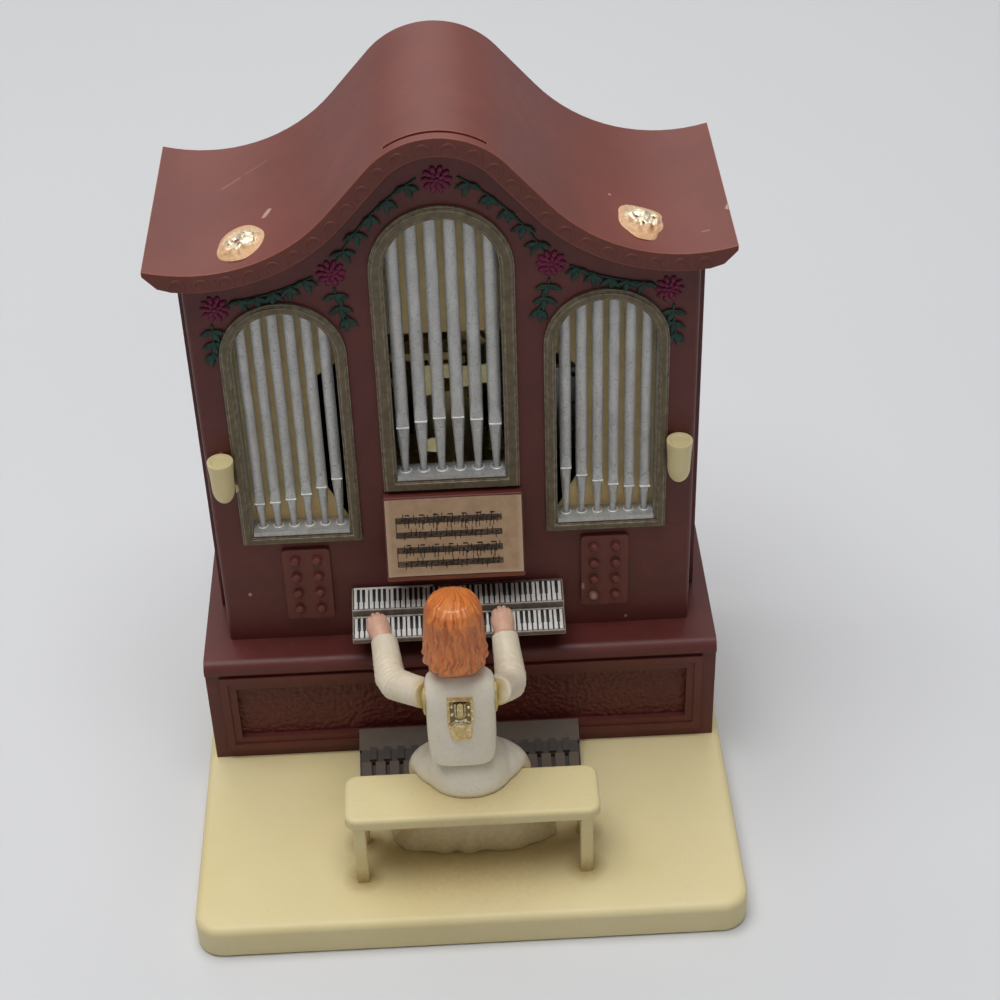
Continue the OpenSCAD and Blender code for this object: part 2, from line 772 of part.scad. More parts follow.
// A stem with pairs of pointed leaves between two points, bowed sideways
module sprig(from, to, bow, pairs) {
    across = unit([from[1] - to[1], to[0] - from[0]]);
    at = [for (i = [0:pairs]) let (t = i / pairs) from + (to - from) * t + across * bow * 4 * t * (1 - t)];
    for (i = [0:pairs - 1]) {
        run = at[i + 1] - at[i];
        translate(at[i]) rotate(atan2(run[1], run[0])) {
            translate([0, -0.2]) square([norm(run) + 0.1, 0.4]);
            for (side = [-1, 1]) rotate(side * 36) polygon([[0.1, -0.1], [1, -0.4], [1.9, -0.3], [2.9, 0],
                [1.9, 0.3], [1, 0.4], [0.1, 0.1]]);
        }
    }
}

module sprigs() {
    gap = unit(mid_flower - top_flower) * flower_r;
    sprig(mid_flower - gap * 1.05, top_flower + gap * 1.1, -1.6, 6);
    sprig(end_flower + [flower_r * -1.02, 0.9], mid_flower - [flower_r * 1.02, 0.6] * -1, 0.9, 6);
    sprig(mid_flower - [0.9, flower_r], mid_flower - [2.6, 9], 0.5, 3);
    sprig(end_flower + [1, -flower_r], end_flower + [2.4, -10.2], -0.4, 3);
}

module garland_leaves() color([0.11, 0.20, 0.17]) {
    along_y(facade_y - 0.8 * garland_t, 0.8 * garland_t) {
        difference() {
            for (side = [0, 1]) mirror([side, 0]) sprigs();
            for (side = [0, 1]) mirror([side, 0]) for (p = [top_flower, mid_flower, end_flower])
                translate(p) circle(flower_r + seat_clear);
        }
    }
}

// Where the two manuals' slopes start: lower front, upper front
low_key = [facade_y - keys_reach, keys_z - 2 * manual_d * sin(key_slope) - manual_rise];
up_key = low_key + [manual_d * cos(key_slope), manual_d * sin(key_slope) + manual_rise] + [0.4, 0.1];

module keyboard() color(bronze) {
    rise = manual_d * [cos(key_slope), sin(key_slope)];
    along_x(-keyboard_w / 2, keyboard_w) polygon([
        [facade_y, keys_z - 7.2], low_key - [0, 1.1], low_key, low_key + rise + [0.4, 0.1], up_key,
        up_key + rise, [facade_y, keys_z + 0.1]]);
}

module manual(at, w) color(white) {
    translate([-w / 2, at[0], at[1]]) rotate([key_slope, 0, 0]) translate([0, 0.2, 0])
        cube([w, manual_d - 0.3, keys_t]);
}

module manual_upper() manual(up_key, keyboard_w - 0.6);
module manual_lower() manual(low_key, keyboard_w - 0.6);

module stop_panel(x) color(brown) {
    pitch_z = stop_h / 4.3;
    translate([x, facade_y, stop_z + stop_h / 2]) {
        along_y(-stop_t, stop_t) round_rect(stop_w, stop_h, 0.8);
        for (i = [-1, 1]) for (k = [-1.5:1:1.5]) {
            rod_y(i * stop_w * 0.23, -stop_t - 0.6, k * pitch_z, knob_r, 0.7);
            translate([i * stop_w * 0.23, -stop_t - 0.5, k * pitch_z]) intersection() {
                translate([0, 0.5, 0]) sphere(r = 1.25 * knob_r);
                rod_y(0, -knob_r, 0, knob_r, knob_r);
            }
        }
    }
}

module stop_panel_left() stop_panel(-stop_x);
module stop_panel_right() stop_panel(stop_x);

module lamp(x) color(cream) {
    r = lamp_d / 2;
    cup_y = facade_y - r - seat_clear;
    rim = 1.3;
    turn = [for (i = [0:8]) let (t = -90 + 90 * i / 8) [0.88 * r * cos(t), lamp_bowl * (1 + sin(t))]];
    translate([x, cup_y, lamp_z]) rotate_extrude() polygon(concat(turn,
        [[0.93 * r, lamp_h - 2 * rim], [r, lamp_h - rim / 2], [r, lamp_h], [0.8 * r, lamp_h],
            [0.6 * r, lamp_h - 0.3], [0, lamp_h - 0.3]]));
    rod_y(x, cup_y, lamp_z + lamp_h * 0.55, 1, facade_y - cup_y);
}

module lamp_left() lamp(-lamp_x);
module lamp_right() lamp(lamp_x);

module pedalboard() color([0.27, 0.23, 0.20]) {
    front = con_y - pedal_d;
    fall = (pedal_back_h - pedal_front_h) / pedal_d;
    pitch = pedal_w / pedal_n;
    plate_y = con_y - pedal_plate;
    plate_h = pedal_back_h - pedal_plate * fall;
    sharp_y = plate_y - sharp_len;
    sharp_h = plate_h - sharp_len * fall;
    root = 0.1;
    translate([bench_x, 0, base_h]) {
        along_x(-pedal_w / 2, pedal_w) polygon([[con_y, 0], [front, 0], [front, pedal_front_h - 0.9],
            [plate_y, plate_h - 0.9], [plate_y, plate_h], [con_y, pedal_back_h]]);
        for (i = [0:pedal_n - 1])
            along_x((i + 0.15) * pitch - pedal_w / 2, 0.7 * pitch) polygon([[front, pedal_front_h - 1],
                [front, pedal_front_h], [plate_y + root, plate_h + root * fall], [plate_y + root, plate_h - 1]]);
        for (i = [0:pedal_n - 2])
            along_x((i + 0.75) * pitch - pedal_w / 2, 0.5 * pitch) polygon([[sharp_y, sharp_h - 1],
                [sharp_y, sharp_h + sharp_rise], [plate_y + root, plate_h + sharp_rise],
                [plate_y + root, plate_h - 1]]);
    }
}

module bench() color(cream) {
    leg_x = seat_w / 2 - leg_inset;
    leg_y = seat_d / 2 - 1.3;
    difference() {
        translate([bench_x, seat_y, seat_z - seat_t]) soft_slab(seat_w, seat_d, seat_t, 2.4, 0.9);
        rod_z(0, post_y, 0, post_r + free_gap, tall);
    }
    for (x = [-1, 1]) for (y = [-1, 1])
        translate([bench_x + x * leg_x, seat_y + y * leg_y, base_h]) linear_extrude(seat_h - seat_t + eps)
            round_rect(leg_w, 0.9 * leg_w, 0.4);
}

// Organist
module skirt() color(white) {
    top_z = seat_z - seat_t - free_gap;
    deep = (skirt_front - skirt_back) / 2;
    n = 48;
    difference() {
        loft([for (k = [0:5]) let (u = k / 5, rise = pow(u, 0.8), half = (1 - skirt_draw * rise) * deep)
            oval(bench_x, skirt_back + skirt_back_in * u + half, base_h + u * (top_z - base_h),
                (1 - skirt_waist * rise) * hem_w, half, 3.2, n, 0.013 * (1 - 0.6 * u), 16)]);
        rod_z(0, post_y, 0, post_r + free_gap, tall);
    }
}

// A dome of ovals: middle, half width, half depth and rise
module dome(y, half_w, half_d, rise, square) {
    floor_z = seat_z - seat_t - free_gap / 2;
    top_z = seat_z + rise;
    loft([for (k = [0:9]) let (u = k / 9, s = sqrt(1 - pow(0.93 * u, 2.6)))
        oval(bench_x * (1 - u), y, floor_z + u * (top_z - floor_z), s * half_w, s * half_d, square, 40)]);
}

module lap() color(white) {
    floor_z = seat_z - seat_t - free_gap / 2;
    seat_front = seat_y + seat_d / 2 + seat_clear;
    difference() {
        union() {
            dome(seat_dome_y, seat_dome_w, seat_dome_deep, seat_dome_h, 2.1);
            dome(hip_y, hip_w, hip_deep, hip_h, 1.7);
            dome(lap_y, lap_r, lap_deep, lap_h, 2.1);
        }
        translate([-tall / 2, seat_front - tall, floor_z - 1]) cube([tall, tall, seat_z - floor_z + 1]);
        rod_z(0, post_y, 0, post_r + free_gap, tall);
        rod_z(0, post_y, torso_z - 0.3, 0.57 * torso_w + 0.3, tall);
    }
}

module torso_body() {
    half = torso_w / 2;
    heights = [0, 0.04, 0.12, 0.3, 0.5, 0.7, 0.82, 0.9, 0.96, 1];
    widths = [0.72, 0.88, 0.94, 0.97, 0.97, 0.99, 1, 0.94, 0.78, 0.5];
    depths = [0.6, 0.82, 0.95, 1, 1, 0.95, 0.88, 0.76, 0.6, 0.42];
    loft([for (k = [0:len(heights) - 1])
        oval(torso_x, post_y - 0.2, torso_z + heights[k] * torso_h, widths[k] * half, depths[k] * 4.3, 3.4, 32)]);
}

module torso() color(white) {
    difference() {
        torso_body();
        rod_z(0, post_y, torso_z - 1, post_r + 0.02, torso_h * 0.5 + 1);
    }
}

// The face's own body, inside the hair
module face_body() {
    levels = [-0.44, -0.4, -0.3, -0.15, 0, 0.14, 0.25, 0.33, 0.37];
    sizes = [0.3, 0.5, 0.7, 0.8, 0.82, 0.8, 0.7, 0.5, 0.2];
    loft([for (k = [0:len(levels) - 1]) oval(head_x, post_y + 2.1, head_z + levels[k] * head_h,
        sizes[k] * head_w / 2, sizes[k] * head_w * 0.52, 2.2, 28)]);
}

module head() color(skin) {
    neck_z = torso_z + torso_h;
    face_body();
    rod_z(0, post_y + 0.6, neck_z, 1.7, head_h * 0.14);
}

module hair() color(ginger) {
    levels = [-0.4, -0.37, -0.28, -0.15, 0, 0.15, 0.27, 0.36, 0.415, 0.435];
    sizes = [0.76, 0.89, 1, 0.95, 0.92, 0.91, 0.87, 0.74, 0.54, 0.18];
    difference() {
        loft([for (k = [0:len(levels) - 1]) oval(head_x, post_y + 1.4, head_z + levels[k] * head_h,
            sizes[k] * head_w / 2, sizes[k] * head_w * 0.53, 2.3, 32)]);
        face_body();
        translate([head_x - head_w * 0.3, post_y + 3.2, head_z - head_h])
            cube([head_w * 0.6, head_w, head_h * 1.2]);
        rod_z(0, post_y + 0.6, torso_z, 1.7 + seat_clear, torso_h + head_h * 0.3);
    }
}

// Joints of the bent arms: elbow, wrist and hand, counted from the post at the torso's foot
arm_l = [[-12.7, 7, 12.1], [-13.7, 15.2, 13.9], [-15, 20.2, 14.4]];
arm_r = [[9.1, 7.3, 10.4], [8.4, 15, 13.8], [8.1, 20.4, 14.4]];
waist = [0, post_y, torso_z];

module hand_body(joints) {
    h = waist + joints[2];
    palm = unit(joints[2] - joints[1]);
    r = sleeve_r * 0.82;
    loft(limb([h - 4.4 * palm, h - 4 * palm, h - 1.4 * palm, h + 0.6 * palm, h + 1.9 * palm, h + 2.5 * palm],
        [0.55 * r, 0.75 * r, 0.96 * r, r, 0.7 * r, 0.25 * r], 16));
}

module arm(side, joints) color(white) {
    shoulder = [side * (torso_w / 2 - 0.2), post_y - 0.6, shoulder_z - 2];
    e = waist + joints[0];
    w = waist + joints[1];
    out = e - shoulder;
    difference() {
        loft(limb(
            [shoulder, shoulder + 0.04 * out, shoulder + 0.45 * out, e - 0.12 * out, e + 0.15 * (w - e),
                w - 0.3 * (w - e), w + 0.12 * (w - e)],
            sleeve_r * [0.92, 0.98, 1.02, 1.04, 1, 0.94, 0.88], 16));
        torso_body();
        hand_body(joints);
    }
}

module arm_left() arm(-1, arm_l);
module arm_right() arm(1, arm_r);
module hand_left() color(skin) hand_body(arm_l);
module hand_right() color(skin) hand_body(arm_r);

module organist_post() color(steel) {
    rod_z(0, post_y, lever_z, post_r, torso_z + torso_h * 0.45 - lever_z);
}

// Drive in the base
module rocker_lever() color(steel) {
    slot = crank_throw + crank_pin_r + 0.3;
    translate([0, post_y, lever_z]) difference() {
        union() {
            linear_extrude(lever_t) {
                circle(3.2);
                translate([-2.4, 0]) square([4.8, lever_reach + slot]);
                translate([0, lever_reach + slot]) circle(2.4);
            }
            cylinder(h = lever_t + 0.9, r = 2.6);
        }
        translate([0, 0, -1]) cylinder(h = tall, r = post_r + 0.02);
        translate([0, 0, -1]) linear_extrude(lever_t + 2) {
            translate([-crank_pin_r - 0.15, lever_reach - slot + 1])
                square([2 * crank_pin_r + 0.3, 2 * slot - 1]);
        }
    }
}

module crank_disc() color(brass) {
    pin_z = lever_z + lever_t + open_pivot_gap;
    difference() {
        rod_z(0, shaft_y, crank_z, crank_throw + 2, crank_t);
        rod_z(0, shaft_y, 0, shaft_r + 0.02, tall);
    }
    rod_z(0, shaft_y + crank_throw, pin_z, crank_pin_r, crank_z + crank_t - pin_z - eps);
}

module drive_shaft() color(steel) {
    rod_z(0, shaft_y, crank_z, shaft_r, top_bearing_z + bearing_t + 0.4 - crank_z);
}

// Movement
module bedplate() color(brass) {
    difference() {
        along_y(bed_y, bed_t) translate([bed_x[0], bed_z[0]])
            square([bed_x[1] - bed_x[0], bed_z[1] - bed_z[0]]);
        rod_y(0, bed_y - 1, arbor_z, arbor_r + run_gap, bed_t + 2);
        for (s = bed_screws) rod_y(s[0], bed_y - 1, s[1], screw_r + seat_clear, bed_t + 2);
    }
}

module movement_screws() color(steel) {
    for (s = bed_screws) screw_y(s[0], bed_y, s[1], 1.8, 0.9, bed_t + standoff_l);
    for (k = [-1, 0, 1])
        screw_y((comb_heel[0] + comb_heel[1]) / 2, shaft_y - comb_t / 2, drum_z + drum_l / 2 + k * 6.5,
            1.5, 0.8, 8);
}

module spring_housing() color(brass) {
    difference() {
        rod_y(0, bed_y - housing_d, arbor_z, housing_r, housing_d);
        rod_y(0, bed_y - housing_d + 0.8, arbor_z, housing_r - 0.8, housing_d);
        rod_y(0, bed_y - housing_d - 1, arbor_z, arbor_r + run_gap, 3);
    }
}

// Spiral band inside the housing
module mainspring() color(steel) {
    turns = 6;
    steps = 16 * turns;
    from = arbor_r + 0.9;
    to = housing_r - 1.3;
    band = 0.4;
    path = [for (i = [0:steps]) let (r = from + (to - from) * i / steps, t = 360 * turns * i / steps) [r, t]];
    translate([0, 0, arbor_z]) along_y(bed_y - housing_d + 1.4, housing_d - 2) polygon(concat(
        [for (p = path) (p[0] + band) * [cos(p[1]), sin(p[1])]],
        [for (i = [steps:-1:0]) path[i][0] * [cos(path[i][1]), sin(path[i][1])]]));
}

module winding_arbor() color(steel) {
    rod_y(0, wheel_y - 0.4, arbor_z, arbor_r, back_y + back_t + 6 - wheel_y);
}

module great_wheel() color(brass) {
    half_root = 0.26 * PI * crown_m;
    half_tip = 0.14 * PI * crown_m;
    difference() {
        union() {
            rod_y(0, wheel_y, arbor_z, crown_r + 1.4, wheel_t);
            translate([0, wheel_y, arbor_z]) for (i = [0:crown_n - 1]) rotate([0, 360 * i / crown_n, 0])
                translate([0, 0, -crown_r - tooth_len / 2]) linear_extrude(tooth_len) polygon([
                    [-half_root, 0.1], [half_root, 0.1], [half_tip, -dedendum - addendum],
                    [-half_tip, -dedendum - addendum]]);
        }
        rod_y(0, wheel_y - 2, arbor_z, arbor_r + 0.02, wheel_t + 4);
    }
}

module wind_key() color(steel) {
    hub_y = back_y + back_t + 0.8;
    lobe_r = key_w / 4;
    difference() {
        union() {
            rod_y(0, hub_y, arbor_z, 3.2, 7);
            translate([0, 0, arbor_z - 0.9]) linear_extrude(1.8) difference() {
                union() {
                    for (x = [-1, 1]) translate([x * (key_w / 2 - lobe_r), hub_y + 10]) circle(lobe_r);
                    translate([-lobe_r, hub_y + 5]) square([2 * lobe_r, lobe_r + 3]);
                }
                for (x = [-1, 1]) translate([x * (key_w / 2 - lobe_r), hub_y + 10]) circle(0.4 * lobe_r);
            }
        }
        rod_y(0, hub_y - 1, arbor_z, arbor_r + 0.02, 6.4);
    }
}

module cylinder_shell() {
    difference() {
        rod_z(0, shaft_y, drum_z, drum_r, drum_l);
        rod_z(0, shaft_y, drum_z + 1, drum_r - 0.8, drum_l - 2);
    }
    rod_z(0, shaft_y, drum_z, shaft_r + 1.4, drum_l);
}

// Pinned cylinder, with its pins laid out by a rule of thumb for each note
module music_cylinder() color(brass) {
    rows = comb_n;
    pitch = (drum_l - 1) / comb_n;
    difference() {
        union() {
            cylinder_shell();
            for (k = [0:rows - 1]) for (j = [0:3]) translate([0, shaft_y, drum_z + 0.5 + (k + 0.5) * pitch])
                rotate([0, 0, 90 * j + (k * 137) % 90]) translate([drum_r - 0.2, -0.15, -0.15])
                    cube([pin_h + 0.2, 0.3, 0.3]);
        }
        rod_z(0, shaft_y, 0, shaft_r + 0.02, tall);
    }
}

module cylinder_pinion() color(brass) {
    difference() {
        translate([0, shaft_y, mesh_z - pinion_face / 2]) linear_extrude(pinion_face)
            gear_2d(pinion_n, crown_m, addendum, dedendum, 0.1 * PI * crown_m, 0.24 * PI * crown_m);
        rod_z(0, shaft_y, 0, shaft_r + 0.02, tall);
    }
}

module governor_gear() color(brass) {
    difference() {
        union() {
            translate([0, shaft_y, gov_z]) linear_extrude(gov_face)
                gear_2d(gov_gear_n, gov_m, 0.8 * gov_m, 1.15 * gov_m, 0.12 * PI * gov_m, 0.26 * PI * gov_m);
            rod_z(0, shaft_y, gov_z, shaft_r + 1.4, drum_z - gov_z);
        }
        rod_z(0, shaft_y, 0, shaft_r + 0.02, tall);
    }
}

// Air-brake fly: spindle, pinion and two blades
module governor_fly() color(steel) {
    spindle_r = 0.6;
    rod_z(gov_x, shaft_y, low_bearing_z, spindle_r, fly_top + bearing_t - low_bearing_z);
    translate([gov_x, shaft_y, gov_z - 0.2]) linear_extrude(gov_face + 0.4) rotate(180 / gov_pinion_n)
        gear_2d(gov_pinion_n, gov_m, 0.8 * gov_m, 1.15 * gov_m, 0.1 * PI * gov_m, 0.24 * PI * gov_m);
    translate([gov_x - fly_r, shaft_y - 0.25, fly_z]) cube([2 * fly_r, 0.5, fly_h]);
    rod_z(gov_x, shaft_y, fly_z, 1.2, fly_h);
}

module governor_bracket() color(brass) {
    arm_w = 6;
    difference() {
        for (z = [gov_z - free_gap - bearing_t, fly_top]) translate([gov_x - arm_w / 2, shaft_y - 2, z])
            cube([arm_w, bed_y - shaft_y + 2, bearing_t]);
        rod_z(gov_x, shaft_y, 0, 0.6 + run_gap, tall);
    }
    translate([gov_x - arm_w / 2, bed_y - 2, gov_z - free_gap - bearing_t])
        cube([arm_w, 2, fly_top + 2 * bearing_t - gov_z + free_gap]);
}

module upper_bearing() color(brass) {
    post_x = -(housing_r + 4.5);
    front = shaft_y - 2.2;
    depth = 4.2;
    difference() {
        union() {
            translate([post_x, front, top_bearing_z]) cube([3, bed_y - front, bearing_t]);
            translate([post_x, front, top_bearing_z]) cube([2.2 - post_x, depth, bearing_t]);
        }
        rod_z(0, shaft_y, 0, shaft_r + run_gap, tall);
    }
}

module lower_bearing() color(brass) {
    difference() {
        translate([-3.5, shaft_y - 3, low_bearing_z]) cube([7, bed_y - shaft_y + 3, bearing_t]);
        rod_z(0, shaft_y, 0, shaft_r + run_gap, tall);
    }
}

module comb() color(steel) {
    pitch = (drum_l - 1) / comb_n;
    tip = drum_r + pin_h + 0.3;
    difference() {
        along_y(shaft_y - comb_t / 2, comb_t) translate([0, drum_z + 0.5]) {
            translate([comb_heel[0], -0.4]) square([comb_heel[1] - comb_heel[0], drum_l - 0.2]);
            for (k = [0:comb_n - 1]) translate([tip, (k + 0.5) * pitch - 0.36])
                square([comb_heel[0] - tip + eps, 0.72]);
        }
        comb_bores(screw_r + seat_clear);
    }
}

module comb_bores(r) {
    for (k = [-1, 0, 1]) rod_y((comb_heel[0] + comb_heel[1]) / 2, shaft_y - 2, drum_z + drum_l / 2 + k * 6.5,
        r, 12);
}

module comb_block() color(brass) {
    difference() {
        translate([comb_heel[0], shaft_y + comb_t / 2, drum_z - 0.2])
            cube([comb_heel[1] - comb_heel[0], bed_y - shaft_y - comb_t / 2, drum_l + 0.4]);
        comb_bores(pilot_r);
    }
}

base_plate();
bottom_cover();
cover_screws();
post_bush();
console();
front_case();
rear_case();
back_cover();
back_screws();
roof();
window_frame_left();
window_frame_centre();
window_frame_right();
pipes_left();
pipes_centre();
pipes_right();
backing_card();
music_desk();
sheet_music();
garland_flowers();
garland_leaves();
keyboard();
manual_upper();
manual_lower();
stop_panel_left();
stop_panel_right();
lamp_left();
lamp_right();
pedalboard();
bench();
skirt();
lap();
torso();
head();
hair();
arm_left();
arm_right();
hand_left();
hand_right();
organist_post();
rocker_lever();
crank_disc();
drive_shaft();
bedplate();
movement_screws();
spring_housing();
mainspring();
winding_arbor();
great_wheel();
wind_key();
music_cylinder();
cylinder_pinion();
comb();
comb_block();
governor_gear();
governor_fly();
governor_bracket();
upper_bearing();
lower_bearing();
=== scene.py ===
# %% [markdown]
# # A wind-up pipe organ with its organist
#
# The object is a small moulded music box: a brown plastic organ with an ogee roof, three arched windows
# with silver pipes, a cream base and an organist on a bench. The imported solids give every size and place,
# so this script only dresses them: it rounds the edges, models the fine pieces and mixes the finishes.

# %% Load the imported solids
import json
import math

import bpy
from mathutils import Matrix, Vector, noise


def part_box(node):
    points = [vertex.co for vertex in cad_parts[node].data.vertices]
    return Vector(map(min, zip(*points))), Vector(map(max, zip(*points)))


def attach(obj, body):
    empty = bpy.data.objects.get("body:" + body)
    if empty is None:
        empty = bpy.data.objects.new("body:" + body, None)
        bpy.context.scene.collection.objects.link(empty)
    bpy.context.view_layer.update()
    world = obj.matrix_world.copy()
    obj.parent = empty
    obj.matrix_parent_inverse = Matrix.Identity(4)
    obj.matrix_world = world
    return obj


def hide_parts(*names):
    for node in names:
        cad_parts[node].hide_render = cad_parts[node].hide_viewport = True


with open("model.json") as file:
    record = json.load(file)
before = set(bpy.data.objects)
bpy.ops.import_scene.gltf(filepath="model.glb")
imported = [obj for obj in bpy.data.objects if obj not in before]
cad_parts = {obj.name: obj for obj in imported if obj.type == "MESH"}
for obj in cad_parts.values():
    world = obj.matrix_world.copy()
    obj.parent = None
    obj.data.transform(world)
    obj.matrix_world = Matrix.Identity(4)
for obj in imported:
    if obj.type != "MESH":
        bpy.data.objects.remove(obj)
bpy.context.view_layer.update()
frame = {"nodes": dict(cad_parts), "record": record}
MM = 0.001
body_of = {node: body for body, nodes in frame["record"]["behaviour"]["bodies"].items() for node in nodes}
slot_of = {part["node"]: part["material_slot"] for part in frame["record"]["subparts"]}
scene = bpy.context.scene

# %% [markdown]
# ## Camera
#
# The picture was taken from above the front, with a short telephoto. The camera's place and direction were
# solved from the base's corners and the roof's edges, and they are written here as one point, one view
# direction and the direction that runs to the right in the picture.

# %% Place the camera
CAMERA_AT = Vector((1.763, -292.270, 296.386)) * MM
VIEW_DIRECTION = Vector((0.018262, 0.786794, -0.616946))
PICTURE_RIGHT = Vector((0.998710, -0.043598, -0.026038))
LENS = 73.9
SENSOR_W = 36

picture_up = PICTURE_RIGHT.cross(VIEW_DIRECTION)
camera = bpy.data.objects.new("camera", bpy.data.cameras.new("camera"))
camera.data.lens = LENS
camera.data.sensor_width = SENSOR_W
camera.data.clip_start = 0.01
turn = Matrix((PICTURE_RIGHT, picture_up, -VIEW_DIRECTION)).transposed().to_4x4()
camera.matrix_world = Matrix.Translation(CAMERA_AT) @ turn
scene.collection.objects.link(camera)
scene.camera = camera
print("camera", round(CAMERA_AT.length / MM), "mm from the origin")

# %% [markdown]
# ## Floor and lamps
#
# The object stands in a white light tent. A pale floor and large soft lamps above and behind give the same
# look: bright tops, quiet fronts, hardly any hard shadow.

# %% Floor and lamps
FLOOR_SIZE = 6
FLOOR_SINK = 0.02 * MM
TOP_LAMP_POWER = 13.0
BACK_LAMP_POWER = 3.2
FRONT_LAMP_POWER = 0.7


def lamp(name, at, aim, size, power):
    light = bpy.data.lights.new(name, "AREA")
    light.shape = "SQUARE"
    light.size = size
    light.energy = power
    holder = bpy.data.objects.new(name, light)
    holder.location = at
    holder.rotation_euler = (Vector(aim) - Vector(at)).to_track_quat("-Z", "Y").to_euler()
    scene.collection.objects.link(holder)


bpy.ops.object.select_all(action="DESELECT")
bpy.ops.mesh.primitive_grid_add(x_subdivisions=8, y_subdivisions=8, size=FLOOR_SIZE,
                                location=(0, 0, -FLOOR_SINK))
floor = bpy.context.object
floor.name = "floor"
lamp("top_lamp", (-0.12, -0.06, 1.2), (0, 0, 0.05), 0.9, TOP_LAMP_POWER)
lamp("back_lamp", (-0.1, 0.85, 0.95), (0, 0, 0.1), 0.9, BACK_LAMP_POWER)
lamp("front_lamp", (0.5, -1.1, 0.75), (0, 0, 0.06), 0.8, FRONT_LAMP_POWER)

scene.view_settings.view_transform = "Standard"
print("floor and three lamps ready")

# %% [markdown]
# ## Writing finishes as arithmetic
#
# A finish is a small calculation over the surface: where is dirt, where is wear, how rough is it there. The
# `Wire` class lets a socket take part in ordinary Python arithmetic, and each operation adds one Math node.
# `Nodes.node` adds every node there is.

# %% Sockets that take part in arithmetic


class Wire:
    """A node's output that can be added, multiplied and compared."""

    def __init__(self, owner, socket):
        self.owner = owner
        self.socket = socket

    def maths(self, operation, first, second=0.0):
        return self.owner.node("ShaderNodeMath", {"operation": operation}, {0: first, 1: second})

    def __add__(self, other):
        return self.maths("ADD", self, other)

    __radd__ = __add__

    def __sub__(self, other):
        return self.maths("SUBTRACT", self, other)

    def __rsub__(self, other):
        return self.maths("SUBTRACT", other, self)

    def __mul__(self, other):
        return self.maths("MULTIPLY", self, other)

    __rmul__ = __mul__

    def __pow__(self, other):
        return self.maths("POWER", self, other)

    def __lt__(self, other):
        return self.maths("LESS_THAN", self, other)

    def __gt__(self, other):
        return self.maths("GREATER_THAN", self, other)

    def __abs__(self):
        return self.maths("ABSOLUTE", self)

    def at_most(self, other):
        return self.maths("MINIMUM", self, other)

    def at_least(self, other):
        return self.maths("MAXIMUM", self, other)

    def ramp(self, low, high):
        """0 below low, 1 above high, a straight line between."""
        return self.owner.node("ShaderNodeMapRange", {"clamp": True}, {"Value": self, 1: low, 2: high})


class Nodes:
    """A tree of nodes, and the way to add one to it."""

    def __init__(self, tree):
        self.tree = tree

    def node(self, kind, settings=None, sockets=None, out=0):
        made = self.tree.nodes.new(kind)
        for key, value in (settings or {}).items():
            setattr(made, key, value)
        for key, value in (sockets or {}).items():
            if isinstance(value, Wire):
                self.tree.links.new(value.socket, made.inputs[key])
            else:
                made.inputs[key].default_value = value
        return made if out is None else Wire(self, made.outputs[out])


print("wires and nodes ready")

# %% [markdown]
# ### What a finish is made of
#
# A `Finish` is a material with one shader. Its methods give the few patterns that all finishes are mixed
# from: cloudy noise, round cells, a blend of two colours, bumps, and a spot or a streak at a place.

# %% Finishes
NOISE_ROUGHNESS = 0.55


